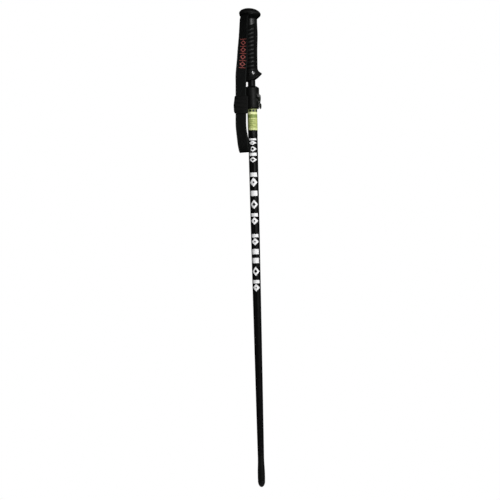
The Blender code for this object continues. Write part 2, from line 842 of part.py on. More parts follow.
def make_guide_bush(material):
    """Split plastic sleeve between the shaft's top and the upper tube, with a flange on the shaft's end."""
    seat = SHAFT_TOP + GAP
    points = [
        (SHAFT_RADIUS, seat + BUSH_FLANGE),
        (SHAFT_RADIUS, seat),
        (BUSH_RADIUS, seat),
        (BUSH_RADIUS, seat - BUSH_LENGTH),
        (BUSH_BORE_RADIUS, seat - BUSH_LENGTH),
        (BUSH_BORE_RADIUS, seat + BUSH_FLANGE),
    ]
    bush = turned("guide_bush", points, material, closed=True)
    half = BUSH_SLIT_WIDTH / 2
    reach = 30 * MM
    low = (-reach, -half, seat - BUSH_LENGTH - reach)
    high = (-BUSH_BORE_RADIUS / 2, half, seat + reach)
    boolean(bush, add_cutter("bush_slit", box_mesh("bush_slit", low, high)))


def make_product_label(material):
    inner = SHAFT_RADIUS + LABEL_GAP
    outer = inner + LABEL_THICKNESS
    points = [(outer, LABEL_HIGH), (outer, LABEL_LOW), (inner, LABEL_LOW), (inner, LABEL_HIGH)]
    turned("product_label", points, material, closed=True)


# Length lock


def across_cylinder(name, radius, half_length, segments=24):
    """Mesh of a cylinder along Y through the lever's pivot."""
    mesh = cylinder_mesh(name, radius, 2 * half_length, segments)
    mesh.transform(
        Matrix.Translation((PIVOT_X, 0.0, PIVOT_Z)) @ Matrix.Rotation(math.radians(90), 4, "X")
    )
    return mesh


def make_lock_collar(material):
    """Clamp body with a bore for both tubes, a split, two ears and pockets for the lever's arms."""
    points = [
        (0.0, COLLAR_TOP),
        (8.5 * MM, COLLAR_TOP),
        (13.4 * MM, 762.3 * MM),
        (COLLAR_RADIUS, 761.0 * MM),
        (COLLAR_RADIUS, COLLAR_BOTTOM + 1.4 * MM),
        (COLLAR_RADIUS - 1.2 * MM, COLLAR_BOTTOM),
        (0.0, COLLAR_BOTTOM),
    ]
    collar = turned("lock_collar", points, material)
    ears = add_cutter("ears", across_cylinder("ears", EAR_RADIUS, EAR_HALF_WIDTH, 30))
    boolean(collar, ears, "UNION")
    far = 30 * MM
    cuts = {
        "arm_pocket_front": ((8.05 * MM, -far, 735.5 * MM), (far, -EAR_HALF_WIDTH, 752.5 * MM)),
        "arm_pocket_rear": ((8.05 * MM, EAR_HALF_WIDTH, 735.5 * MM), (far, far, 752.5 * MM)),
        "lever_seat": ((13.2 * MM, -far, 715.0 * MM), (far, far, 742.0 * MM)),
        "clamp_split": ((5.0 * MM, -COLLAR_SPLIT / 2, 731.0 * MM), (far, COLLAR_SPLIT / 2, 780.0 * MM)),
    }
    for name, (low, high) in cuts.items():
        boolean(collar, add_cutter(name, box_mesh(name, low, high)))
    shoulder = SHAFT_TOP + BUSH_FLANGE + 2 * GAP
    beyond = 5 * MM
    bores = {
        "shaft_bore": (SHAFT_RADIUS + GAP, COLLAR_BOTTOM - beyond, shoulder),
        "tube_bore": (TUBE_RADIUS + GAP + 0.05 * MM, shoulder - beyond, COLLAR_TOP + beyond),
    }
    for name, (radius, low, high) in bores.items():
        bore = add_cutter(name, cylinder_mesh(name, radius, high - low, SEGMENTS))
        bore.matrix_world = Matrix.Translation((0.0, 0.0, (low + high) / 2)) @ Matrix.Rotation(
            math.pi / SEGMENTS, 4, "Z"
        )
        boolean(collar, bore)
    hole = across_cylinder("bolt_hole", BOLT_RADIUS + GAP, far)
    boolean(collar, add_cutter("bolt_hole", hole))


def lever_outline():
    """Side view of the lever: the cam round the pivot, the waist, the finger lip and the inner side."""
    small, large = 3.2 * MM, 4.9 * MM
    points = []
    for angle in range(180, -1, -15):
        radius = small + (large - small) * smooth((70 - angle) / 70)
        points.append(
            (
                PIVOT_X + radius * math.cos(math.radians(angle)),
                PIVOT_Z + radius * math.sin(math.radians(angle)),
            )
        )
    side = [
        (16.9, 743.0),
        (16.9, 740.2),
        (16.2, 736.6),
        (15.7, 733.6),
        (16.3, 731.6),
        (17.5, 730.4),
        (17.8, 728.2),
        (17.8, 725.2),
        (17.3, 723.1),
        (16.2, 722.4),
        (15.0, 722.8),
        (13.5, 726.0),
        (13.5, 738.0),
        (10.9, 741.0),
        (9.2, 743.2),
    ]
    points += [(x * MM, z * MM) for x, z in side]
    return points


def make_lock_lever(material):
    """Fork with two arms outside the ears, joined below by a plate with a finger lip."""
    inside = EAR_HALF_WIDTH + GAP
    width = 2 * (inside + ARM_THICKNESS)
    mesh = outline_mesh("lock_lever", lever_outline(), width)
    mesh.transform(Matrix.Translation((-PIVOT_X, 0.0, -PIVOT_Z)))
    lever = add_part("lock_lever", mesh, material)
    lever.location = (PIVOT_X, 0.0, PIVOT_Z)
    low = (0.0, -inside, 737.6 * MM)
    high = (40 * MM, inside, 780 * MM)
    boolean(lever, add_cutter("fork_gap", box_mesh("fork_gap", low, high)))
    hole = across_cylinder("lever_hole", BOLT_RADIUS + GAP, 30 * MM)
    boolean(lever, add_cutter("lever_hole", hole))


def place_across(item, offset):
    """Put a piece made along Z on the pivot, at an offset along +Y."""
    turn = Matrix.Rotation(math.radians(-90), 4, "X")
    item.matrix_world = Matrix.Translation((PIVOT_X, offset, PIVOT_Z)) @ turn


def make_clamp_fasteners(material):
    """Bolt from the front, a washer under its head, and a washer and a nut behind."""
    arm = EAR_HALF_WIDTH + GAP + ARM_THICKNESS
    seat = arm + GAP
    head = seat + WASHER_THICKNESS + GAP
    end = head + NUT_HEIGHT + 0.4 * MM
    bolt_points = [
        (0.0, end),
        (BOLT_RADIUS - 0.3 * MM, end),
        (BOLT_RADIUS, end - 0.3 * MM),
        (BOLT_RADIUS, -head),
        (BOLT_HEAD_RADIUS, -head),
        (BOLT_HEAD_RADIUS, -head - BOLT_HEAD_HEIGHT + 0.5 * MM),
        (BOLT_HEAD_RADIUS - 0.5 * MM, -head - BOLT_HEAD_HEIGHT),
        (1.2 * MM, -head - BOLT_HEAD_HEIGHT),
        (1.2 * MM, -head - 0.6 * MM),
        (0.0, -head - 0.6 * MM),
    ]
    place_across(turned("clamp_bolt", bolt_points, material, segments=24), 0.0)
    bore = BOLT_RADIUS + GAP
    washer_points = [
        (WASHER_RADIUS, WASHER_THICKNESS / 2),
        (WASHER_RADIUS, -WASHER_THICKNESS / 2),
        (bore, -WASHER_THICKNESS / 2),
        (bore, WASHER_THICKNESS / 2),
    ]
    middle = seat + WASHER_THICKNESS / 2
    for name, side in (("head_washer", -1), ("nut_washer", 1)):
        place_across(turned(name, washer_points, material, closed=True, segments=24), side * middle)
    nut = add_part("clamp_nut", cylinder_mesh("clamp_nut", NUT_RADIUS, NUT_HEIGHT, 6), material)
    place_across(nut, head + NUT_HEIGHT / 2)
    boolean(nut, add_cutter("nut_bore", across_cylinder("nut_bore", bore, 30 * MM)))


# Tip


def make_tip_ferrule(material):
    """Sleeve that flares to the nose, with a spigot in the shaft and a bore for the stud."""
    spigot = SHAFT_TIP_RADIUS - SHAFT_WALL - GAP
    bore = STUD_RADIUS + GAP
    points = [
        (0.0, FERRULE_TOP + FERRULE_SPIGOT),
        (spigot - 0.6 * MM, FERRULE_TOP + FERRULE_SPIGOT),
        (spigot, FERRULE_TOP + FERRULE_SPIGOT - 0.6 * MM),
        (spigot, FERRULE_TOP),
        (SHAFT_TIP_RADIUS, FERRULE_TOP),
        (SHAFT_TIP_RADIUS + 0.05 * MM, 46 * MM),
        (SHAFT_TIP_RADIUS + 0.3 * MM, 39 * MM),
        (SHAFT_TIP_RADIUS + 0.7 * MM, 31 * MM),
        (FERRULE_RADIUS, 25 * MM),
        (FERRULE_RADIUS, FERRULE_BOTTOM + 0.4 * MM),
        (FERRULE_RADIUS - 0.4 * MM, FERRULE_BOTTOM),
        (bore, FERRULE_BOTTOM),
        (bore, STUD_HIGH + GAP),
        (0.0, STUD_HIGH + GAP),
    ]
    turned("tip_ferrule", points, material)


def make_tip_nose(material):
    """Blunt nose with a small flat end and a blind hole for the stud."""
    bore = STUD_RADIUS + GAP
    flat_angle = math.asin(NOSE_FLAT_RADIUS / NOSE_RADIUS)
    depth = (NOSE_TOP - 0.8 * MM) / math.cos(flat_angle)
    points = [
        (0.0, STUD_LOW - GAP),
        (bore, STUD_LOW - GAP),
        (bore, NOSE_TOP),
        (NOSE_RADIUS - 0.4 * MM, NOSE_TOP),
    ]
    steps = 8
    for step in range(steps + 1):
        angle = math.radians(90) + (flat_angle - math.radians(90)) * step / steps
        points.append((NOSE_RADIUS * math.sin(angle), depth * (math.cos(flat_angle) - math.cos(angle))))
    points.append((0.0, 0.0))
    turned("tip_nose", points, material)


def make_tip_stud(material):
    points = [
        (0.0, STUD_HIGH),
        (STUD_RADIUS - 0.4 * MM, STUD_HIGH),
        (STUD_RADIUS, STUD_HIGH - 0.4 * MM),
        (STUD_RADIUS, STUD_LOW + 0.4 * MM),
        (STUD_RADIUS - 0.4 * MM, STUD_LOW),
        (0.0, STUD_LOW),
    ]
    turned("tip_stud", points, material, segments=24)


def main():
    clear_scene()
    make_collection(PARTS)
    make_collection(CUTTERS)
    hard_plastic = make_material("hard_plastic", (0.022, 0.023, 0.022), 0.32)
    rubber = make_material("rubber", (0.024, 0.025, 0.024), 0.62)
    webbing = make_material("webbing", (0.016, 0.016, 0.018), 0.85)
    coated_tube = make_material("coated_tube", (0.012, 0.012, 0.013), 0.30)
    steel = make_material("steel", (0.55, 0.55, 0.56), 0.35, 1.0)
    label_film = make_material("label_film", (0.48, 0.56, 0.16), 0.40)
    make_pommel_cap(hard_plastic)
    make_grip_core(hard_plastic)
    make_grip_sleeve(rubber)
    make_strap_pin(steel)
    make_wrist_strap(webbing)
    make_strap_slider(hard_plastic)
    make_upper_tube(coated_tube)
    make_tube_end_plug(hard_plastic)
    make_lower_shaft(coated_tube)
    make_guide_bush(hard_plastic)
    make_product_label(label_film)
    make_lock_collar(hard_plastic)
    make_lock_lever(hard_plastic)
    make_clamp_fasteners(steel)
    make_tip_ferrule(hard_plastic)
    make_tip_nose(rubber)
    make_tip_stud(steel)
    bpy.context.view_layer.update()


main()
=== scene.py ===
from math import asin, atan, cos, exp, hypot, pi, radians, sin, sqrt

import bmesh
import bpy
from mathutils import Matrix, Vector


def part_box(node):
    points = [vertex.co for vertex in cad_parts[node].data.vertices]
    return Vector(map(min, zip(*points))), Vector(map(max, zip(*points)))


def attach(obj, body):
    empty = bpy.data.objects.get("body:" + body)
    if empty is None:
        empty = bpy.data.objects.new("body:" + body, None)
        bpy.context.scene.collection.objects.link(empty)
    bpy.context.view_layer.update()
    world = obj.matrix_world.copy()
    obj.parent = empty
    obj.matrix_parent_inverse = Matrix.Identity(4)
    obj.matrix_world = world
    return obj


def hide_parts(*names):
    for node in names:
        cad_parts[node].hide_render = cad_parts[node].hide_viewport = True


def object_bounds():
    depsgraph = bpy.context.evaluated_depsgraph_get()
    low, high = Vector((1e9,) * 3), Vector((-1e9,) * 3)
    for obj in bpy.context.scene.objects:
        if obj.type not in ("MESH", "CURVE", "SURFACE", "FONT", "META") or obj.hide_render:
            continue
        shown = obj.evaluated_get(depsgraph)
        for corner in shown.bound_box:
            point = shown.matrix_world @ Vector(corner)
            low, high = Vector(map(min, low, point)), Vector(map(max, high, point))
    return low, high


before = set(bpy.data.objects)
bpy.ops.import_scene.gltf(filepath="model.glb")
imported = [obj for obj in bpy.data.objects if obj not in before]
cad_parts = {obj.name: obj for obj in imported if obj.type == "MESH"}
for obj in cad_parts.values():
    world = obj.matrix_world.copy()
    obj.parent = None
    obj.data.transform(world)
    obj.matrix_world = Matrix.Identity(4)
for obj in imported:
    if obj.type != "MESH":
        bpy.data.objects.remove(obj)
CAD_LOW, CAD_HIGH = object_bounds()

# Looks of the telescoping hand stick. Lengths are in metres in the frame of the part: the nose's flat end is
# the origin, +Z runs up the stick, and the camera looks along +Y.

MM = 0.001
GAP = 0.3 * MM
SEGMENTS = 96


def node_radius(node):
    """Radius of a round node, from its box along Y."""
    low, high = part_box(node)
    return (high.y - low.y) / 2


def node_ends(node):
    """Lowest and highest Z of a node."""
    low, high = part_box(node)
    return low.z, high.z


# Head and pommel: the cap's plane drops towards +X
HEAD_SLOPE = 0.0845
HEAD_DROP = 1.75 * MM
SLOPE_LOW = 892.0 * MM
SLOPE_FULL = 900.0 * MM
CAP_RADIUS = node_radius("pommel_cap")
CAP_BOTTOM = 904.5 * MM
CAP_RIM_HEIGHT = 0.7 * MM
CAP_WALL = 2.2 * MM
HEAD_TOP = CAP_BOTTOM - GAP
SPIGOT_RADIUS = 4.3 * MM
SPIGOT_END, _ = node_ends("pommel_cap")

# Grip
GRIP_TOP_RADIUS = 13.4 * MM
GRIP_LOW_RADIUS = 12.2 * MM
GRIP_NECK_Z = 891.0 * MM
GRIP_FLARE_Z = 806.0 * MM
PALM_SWELL = 1.2 * MM
FRONT_SWELL = 0.9 * MM
RIM_RADIUS = 15.2 * MM
RIM_Z, _ = node_ends("grip_core")
LIP_REACH = 4.8 * MM
LIP_RISE = 13.1 * MM
LIP_THICKNESS = 2.0 * MM
FLARE_POWER = 3.0
BULB_Z = 791.8 * MM
BULB_HEIGHT = 1.2 * MM
BULB_REACH = 3.6 * MM
TUBE_RADIUS = node_radius("upper_tube")
TUBE_LOW, TUBE_HIGH = node_ends("upper_tube")
BORE_TOP = TUBE_HIGH + 0.5 * MM

# Ribbed sleeve
SLEEVE_THICKNESS = 1.8 * MM
SLEEVE_LOW = 797.9 * MM
SLEEVE_HIGH = 879.9 * MM
SLEEVE_EDGE_DEG = 48.0
RIB_COUNT = 10
RIB_PITCH = 7.65 * MM
RIB_LOWEST = 803.0 * MM
RIB_HEIGHT = 1.0 * MM
RIB_SLOPE_HIGH = 0.36
RIB_SLOPE_LOW = 0.12

# Strap and the slide on it
STRAP_AZIMUTH_DEG = 228.0
PIN_RADIUS = 1.5 * MM
STRAP_HALF_WIDTH = 10.15 * MM
STRAP_THICKNESS = 1.3 * MM
LAYER_STEP = STRAP_THICKNESS + GAP
SEAM_LOW = 800.0 * MM
SEAM_HIGH = 835.0 * MM
LOOP_START = 688.0 * MM
LOOP_WIDEST = 653.0 * MM
LOOP_HALF_WIDTH = 7.4 * MM
STRAP_BOTTOM = 637.6 * MM
SLIDER_LOW, SLIDER_HIGH = node_ends("strap_slider")
SLIDER_MIDDLE = Vector((-21.35 * MM, -17.5 * MM, (SLIDER_LOW + SLIDER_HIGH) / 2))
SLIDER_LEAN = 0.0232

# Shaft, its print and its label
SHAFT_RADIUS = node_radius("lower_shaft")
SHAFT_TIP_RADIUS = 6.1 * MM
SHAFT_BOTTOM, SHAFT_TOP = node_ends("lower_shaft")
SHAFT_TAPER_TOP = 700.0 * MM
SHAFT_TAPER_POWER = 1.5
SHAFT_WALL = 0.75 * MM
LABEL_RADIUS = node_radius("product_label")
LABEL_LOW, LABEL_HIGH = node_ends("product_label")
PRINT_CENTRE_DEG = -7.0
PRINT_HALF_DEG = 53.0
PRINT_THICKNESS = 0.05 * MM
# Groups of the print: (low, high, fields from the top down, space between fields)
PRINT_GROUPS = (
    (619.5 * MM, 665.8 * MM, "bgdg", 2.2 * MM), (501.1 * MM, 601.3 * MM, "wdgb", 7.3 * MM),
    (373.9 * MM, 483.9 * MM, "bddgb", 7.0 * MM)
)
# Fields share a group's height by weight: w and b are a band over a diamond, g is a diamond, d is a band
FIELD_WEIGHTS = {"w": 28.5, "b": 22.5, "g": 17.5, "d": 10.0}

# Clamp and tip
COLLAR_LOW, COLLAR_HIGH = node_ends("lock_collar")
COLLAR_RADIUS = node_radius("lock_collar")
PIVOT = Vector((11.6 * MM, 0.0, 746.0 * MM))
EAR_HALF_WIDTH = 6.2 * MM
ARM_THICKNESS = 2.4 * MM
BOLT_RADIUS = 1.5 * MM
STUD_HOLE_RADIUS = node_radius("tip_stud") + GAP


# Numbers and points


def clamp(value):
    return min(max(value, 0.0), 1.0)


def smooth(value):
    value = clamp(value)
    return value * value * (3 - 2 * value)


def bell(value, centre, width):
    """1 at the centre, falling off on both sides."""
    return exp(-(((value - centre) / width) ** 2))


def between(low, high, steps):
    """Evenly spaced values, with both ends."""
    return [low + (high - low) * step / steps for step in range(steps + 1)]


def circle(segments):
    return [2 * pi * step / segments for step in range(segments)]


def spun(radius, angle, height):
    """Point at an angle round the stick's axis."""
    return (radius * cos(angle), radius * sin(angle), height)


def in_mm(points):
    """Turns points that are written in millimetres into metres."""
    return [tuple(value * MM for value in point) for point in points]


def edge_from(radius, height, points):
    """Profile points, each given in mm as how far inside a radius and above a height it lies."""
    return [(radius - inside, height + above) for inside, above in in_mm(points)]


def filleted(points, size, closed=False, steps=4):
    """The outline with each corner replaced by a short curve."""
    result = []
    for index, (x, y) in enumerate(points):
        if not closed and index in (0, len(points) - 1):
            result.append((x, y))
            continue
        here = Vector((x, y))
        before = Vector(points[index - 1]) - here
        after = Vector(points[(index + 1) % len(points)]) - here
        reach = min(size, 0.45 * before.length, 0.45 * after.length)
        start = here + before.normalized() * reach
        end = here + after.normalized() * reach
        for share in between(0.0, 1.0, steps):
            point = start * (1 - share) ** 2 + here * (2 * share * (1 - share)) + end * share**2
            result.append((point.x, point.y))
    return result


# Shapes


def shade(item, sharp_deg=38):
    """Smooth shading with the hard edges kept."""
    item.data.shade_smooth()
    item.data.set_sharp_from_angle(angle=radians(sharp_deg))


def add_object(name, data):
    item = bpy.data.objects.new(name, data)
    bpy.context.scene.collection.objects.link(item)
    return item


def add_mesh(name, work):
    """Object in the scene from a bmesh."""
    bmesh.ops.recalc_face_normals(work, faces=work.faces)
    item = add_object(name, bpy.data.meshes.new(name))
    work.to_mesh(item.data)
    work.free()
    shade(item)
    return item


def bridge(work, rows, closed=True):
    """Faces between neighbouring rows of vertices; a row can be one vertex."""
    for upper, lower in zip(rows, rows[1:]):
        count = max(len(upper), len(lower))
        for index in range(count if closed else count - 1):
            after = index + 1
            corners = ((upper, index), (lower, index), (lower, after), (upper, after))
            vertices = [row[place % len(row)] for row, place in corners]
            work.faces.new(list(dict.fromkeys(vertices)))


def lofted(name, rings, wrap=False):
    """Skin between equal rings of points; its ends are closed unless it wraps round."""
    work = bmesh.new()
    rows = [[work.verts.new(point) for point in ring] for ring in rings]
    bridge(work, rows + rows[:1] if wrap else rows)
    if not wrap:
        for row in (rows[0], rows[-1]):
            for index in range(len(row) // 2 - 1):
                work.faces.new((row[index], row[index + 1], row[-2 - index], row[-1 - index]))
    return add_mesh(name, work)


def turned(name, profile, segments=SEGMENTS, closed=False):
    """Turned piece from (radius, height) points; a point on the axis becomes one vertex."""
    work = bmesh.new()
    rows = []
    for radius, height in profile:
        angles = circle(segments) if radius else [0.0]
        rows.append([work.verts.new(spun(radius, angle, height)) for angle in angles])
    bridge(work, rows + rows[:1] if closed else rows)
    return add_mesh(name, work)


def pipe(name, outer, inner, low, high, fillet, segments=SEGMENTS, steps=2):
    """Turned tube, label or washer with rounded edges."""
    profile = [(outer, high), (outer, low), (inner, low), (inner, high)]
    return turned(name, filleted(profile, fillet, closed=True, steps=steps), segments, closed=True)


def plate(name, outline, low, high):
    """Flat outline in (x, z) given a thickness along Y."""
    work = bmesh.new()
    front, back = ([work.verts.new((x, depth, z)) for x, z in outline] for depth in (low, high))
    work.faces.new(front)
    work.faces.new(list(reversed(back)))
    bridge(work, [front, back])
    return add_mesh(name, work)


def block(name, low, high):
    outline = [(low[0], low[2]), (high[0], low[2]), (high[0], high[2]), (low[0], high[2])]
    return plate(name, outline, low[1], high[1])


def rod(name, radius, low, high, segments, at=None):
    """Closed cylinder from low to high along Z, or along Y through a point."""
    item = turned(name, [(0.0, high), (radius, high), (radius, low), (0.0, low)], segments)
    if at:
        lay_across(item, at)
    return item


def lay_across(item, at):
    """Turn a piece made along Z to lie along Y through a point."""
    item.data.transform(Matrix.Translation(at) @ Matrix.Rotation(radians(-90), 4, "X"))


def apply_modifiers(item):
    bpy.context.view_layer.update()
    evaluated = item.evaluated_get(bpy.context.evaluated_depsgraph_get())
    mesh = bpy.data.meshes.new_from_object(evaluated)
    item.modifiers.clear()
    old = item.data
    item.data = mesh
    bpy.data.meshes.remove(old)


def combine(item, other, operation):
    """Boolean that is applied at once; the other object is removed."""
    modifier = item.modifiers.new("combine", "BOOLEAN")
    modifier.operation = operation
    modifier.solver = "EXACT"
    modifier.object = other
    apply_modifiers(item)
    bpy.data.objects.remove(other, do_unlink=True)


def cut(item, *others):
    for other in others:
        combine(item, other, "DIFFERENCE")


def round_edges(item, width, angle=30.0, segments=2):
    """Small rounded edges on a cut piece."""
    bevel = item.modifiers.new("edges", "BEVEL")
    bevel.width = width
    bevel.segments = segments
    bevel.limit_method = "ANGLE"
    bevel.angle_limit = radians(angle)
    apply_modifiers(item)
    shade(item)


def store(item, name, vectors):
    """Keep a vector for each vertex, for the piece's material to read."""
    attribute = item.data.attributes.new(name, "FLOAT_VECTOR", "POINT")
    for row, vector in zip(attribute.data, vectors):
        row.vector = vector


def dress(item, look):
    item.data.materials.clear()
    item.data.materials.append(LOOKS[look])


def finish(item, body, slot, look, *nodes):
    """Give a finished piece its material, its body and the CAD nodes that it stands for."""
    dress(item, look)
    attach(item, body)
    if nodes:
        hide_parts(*nodes)


# Materials


LOOKS = {}


class Nodes:
    """A node tree, with short names for adding nodes to it."""

    def __init__(self, tree):
        self.tree = tree

    def feed(self, socket, value):
        """Link an output to a socket, or set its value; a colour is three numbers, or one for a grey."""
        if isinstance(value, bpy.types.NodeSocket):
            self.tree.links.new(value, socket)
        elif socket.type == "RGBA":
            socket.default_value = (*value, 1.0) if isinstance(value, tuple) else (value, value, value, 1.0)
        else:
            socket.default_value = value

    def node(self, kind, inputs=(), output=0, **settings):
        """Add a node, feed its inputs by place or by name, and give back one of its outputs."""
        node = self.tree.nodes.new("ShaderNode" + kind)
        for name, value in settings.items():
            setattr(node, name, value)
        for key, value in inputs.items() if isinstance(inputs, dict) else enumerate(inputs):
            self.feed(node.inputs[key], value)
        return node.outputs[output]


class Surface(Nodes):
    """A Principled material under construction, kept in LOOKS by its name; its grains are in millimetres."""

    def __init__(self, name, specular=0.5, metallic=0.0, sheen=0.0):
        LOOKS[name] = bpy.data.materials.new(name)
        LOOKS[name].use_nodes = True
        super().__init__(LOOKS[name].node_tree)
        self.set("Specular IOR Level", specular)
        self.set("Metallic", metallic)
        self.set("Sheen Weight", sheen)
        self.set("Sheen Roughness", 0.4)
        self.place = self.node("TexCoord", output="Object")

    def set(self, name, value):
        self.feed(self.tree.nodes["Principled BSDF"].inputs[name], value)

    def math(self, operation, first, second=0.0):
        return self.node("Math", (first, second), operation=operation)

    def times(self, first, second):
        return self.math("MULTIPLY", first, second)

    def plus(self, first, second):
        return self.math("ADD", first, second)

    def part(self, vector, axis):
        return self.node("SeparateXYZ", (vector,), axis)

    def attribute(self, name):
        return self.node("Attribute", output="Vector", attribute_name=name)

    def noise(self, grain, detail=3.0, along=1.0, roughness=0.55):
        """Noise of the given grain; along below 1 draws it out along Z."""
        vector = self.node("VectorMath", (self.place, (1.0, 1.0, along)), operation="MULTIPLY")
        inputs = {"Vector": vector, "Scale": 1.0 / (grain * MM), "Detail": detail, "Roughness": roughness}
        return self.node("TexNoise", inputs, "Fac")

    def spread(self, value, low, high, to_low=0.0, to_high=1.0):
        """The value with low to high mapped to the given ends, and held there outside."""
        return self.node("MapRange", (value, low, high, to_low, to_high))

    def patches(self, grain, low=0.35, high=0.65, to_low=0.0, to_high=1.0, **noise):
        return self.spread(self.noise(grain, **noise), low, high, to_low, to_high)

    def mix(self, share, first, second):
        return self.node("Mix", {0: share, 6: first, 7: second}, 2, data_type="RGBA")

    def colour(self, value):
        self.set("Base Color", value)

    def roughness(self, value):
        self.set("Roughness", value)

    def bump(self, height, distance):
        self.set("Normal", self.node("Bump", {"Height": height, "Distance": distance * MM}))

    def grain(self, size, relief):
        """Fine moulded grain."""
        cells = self.node("TexVoronoi", {"Vector": self.place, "Scale": 1.0 / (size * MM)}, "Distance")
        self.bump(self.plus(cells, self.noise(size * 2.2)), relief)

    def worn_edges(self, low=0.52, high=0.6):
        """0 on flat surface, 1 on convex edges, broken up by noise."""
        edge = self.spread(self.node("NewGeometry", output="Pointiness"), low, high)
        return self.times(edge, self.patches(2.5, 0.42, 0.62))


def moulded(name, dark, light, grain, relief, roughness, spread, specular=0.5):
    """Moulded plastic or rubber: cloudy tone, fine grain, patchy gloss, faint scratches and worn edges."""
    look = Surface(name, specular)
    tone = look.mix(look.patches(9), dark, light)
    worn = tuple(min(1.0, 2.2 * value + 0.004) for value in light)
    look.colour(look.mix(look.worn_edges(), tone, worn))
    scratch = look.noise(0.9, 4.0, along=0.08)
    patchy = look.plus(look.noise(5), look.times(scratch, 0.5))
    look.roughness(look.spread(patchy, 0.5, 1.0, roughness - spread, roughness + spread))
    look.grain(grain, relief)


def black(name, level, grain, relief, roughness, spread, specular, tint=(1.0, 1.04, 0.98)):
    """Nearly black moulded plastic or rubber."""
    dark = tuple(level * 0.6 * value for value in tint)
    light = tuple(level * value for value in tint)
    moulded(name, dark, light, grain, relief, roughness, spread, specular)


def webbing():
    """Narrow woven tape: rows of warp yarns crossed by picks, with a lighter band near each edge."""
    look = Surface("woven_webbing", 0.06, sheen=0.012)
    weave = look.attribute("weave")
    across, along = look.part(weave, "X"), look.part(weave, "Y")
    yarn, pick = 0.92, 1.25
    column = look.math("DIVIDE", across, yarn)
    shift = look.times(look.math("FLOOR", column), 0.5)
    ridge = look.math("ABSOLUTE", look.math("SINE", look.times(column, pi)))
    row = look.plus(look.math("DIVIDE", along, pick), shift)
    wave = look.math("SINE", look.times(row, 2 * pi))
    hump = look.times(ridge, look.spread(wave, -1.0, 1.0, 0.35, 1.0))
    from_middle = look.math("ABSOLUTE", across)
    # Lighter colour in a band near each edge of the tape.
    lighter_edge_band = look.times(look.spread(from_middle, 8.0, 8.6), look.spread(from_middle, 9.9, 9.2))
    body = look.mix(hump, (0.0012, 0.0013, 0.0013), (0.0062, 0.0068, 0.0064))
    edged = look.mix(look.times(lighter_edge_band, 0.5), body, (0.026, 0.028, 0.027))
    dust = look.times(look.patches(14, 0.5, 0.75), 0.10)
    look.colour(look.mix(dust, edged, (0.022, 0.023, 0.023)))
    fuzz = look.noise(0.25, 2.0)
    look.roughness(look.spread(fuzz, 0.3, 0.7, 0.6, 0.9))
    look.bump(look.plus(hump, look.times(fuzz, 0.25)), 0.28)


def thread(name, dark, light):
    """Twisted sewing thread."""
    look = Surface(name, 0.3, sheen=0.05)
    twist = look.noise(0.35, along=2.5)
    look.colour(look.mix(look.spread(twist, 0.3, 0.7), dark, light))
    look.roughness(look.spread(twist, 0.3, 0.7, 0.38, 0.62))
    look.bump(twist, 0.08)


def drawn_steel(name, dark, light, roughness):
    """Plain steel with fine upright lines."""
    look = Surface(name, metallic=1.0)
    lines = look.noise(0.35, 4.0, along=0.1)
    tone = look.mix(look.spread(lines, 0.3, 0.7), dark, light)
    look.colour(look.mix(look.worn_edges(), tone, tuple(1.4 * value + 0.03 for value in light)))
    patchy = look.plus(lines, look.noise(7))
    look.roughness(look.spread(patchy, 0.6, 1.4, roughness - 0.08, roughness + 0.1))
    look.bump(lines, 0.03)


def shaft_paint():
    """Gloss black paint over a drawn tube: orange peel, faint long scratches and dust near the tip."""
    look = Surface("shaft_paint", 0.06)
    tone = look.mix(look.patches(12, 0.3, 0.7), (0.0018, 0.0018, 0.0019), (0.0034, 0.0035, 0.0033))
    near_tip = look.spread(look.part(look.place, "Z"), 0.30, 0.06)
    dust = look.times(near_tip, look.patches(3, 0.45, 0.7, detail=5.0))
    dusty = look.mix(look.times(dust, 0.35), tone, (0.022, 0.0215, 0.020))
    scratch = look.noise(0.7, 5.0, along=0.04)
    fine = look.times(look.spread(scratch, 0.66, 0.72), 0.4)
    look.colour(look.mix(fine, dusty, 0.03))
    worn = look.plus(look.spread(scratch, 0.35, 0.75, 0.0, 0.16), look.times(dust, 0.25))
    look.roughness(look.plus(worn, 0.27))
    look.bump(look.noise(1.6, 1.0), 0.05)


def ink(name, main, shade_colour, chipped):
    """Printed ink: slightly uneven, with small chips down to the surface below."""
    look = Surface(name, 0.22)
    tone = look.mix(look.patches(4, 0.3, 0.7), shade_colour, main)
    chips = look.patches(0.8, 0.69, 0.72, detail=5.0, roughness=0.7)
    look.colour(look.mix(chips, tone, chipped))
    look.roughness(look.patches(2, 0.3, 0.7, 0.34, 0.5))
    look.bump(look.noise(0.5), 0.02)


def label_film():
    """Printed film sleeve: yellow-green, paler in a band near its top and at its foot, slightly wrinkled."""
    look = Surface("label_film", 0.12)
    share = look.spread(look.part(look.place, "Z"), LABEL_LOW, LABEL_HIGH)

    def from_to(low, full, last, high):
        """1 between full and last, 0 below low and above high; the numbers are shares of the label."""
        return look.times(look.spread(share, low, full), look.spread(share, high, last))

    cloud = look.patches(2.6, detail=4.0)
    main = look.mix(cloud, (0.36, 0.42, 0.125), (0.57, 0.62, 0.235))
    pale = look.mix(cloud, (0.72, 0.78, 0.36), (0.90, 0.93, 0.50))
    faint = look.math("MAXIMUM", look.spread(share, 0.118, 0.098), from_to(0.53, 0.54, 0.555, 0.565))
    pale_share = look.math("MAXIMUM", from_to(0.745, 0.760, 0.838, 0.850), look.times(faint, 0.5))
    body = look.mix(pale_share, main, pale)
    look.colour(look.mix(look.spread(share, 0.850, 0.862), body, (0.27, 0.31, 0.13)))
    look.roughness(look.patches(3, 0.3, 0.7, 0.3, 0.46))
    look.bump(look.noise(6, 2.0, along=0.35), 0.12)


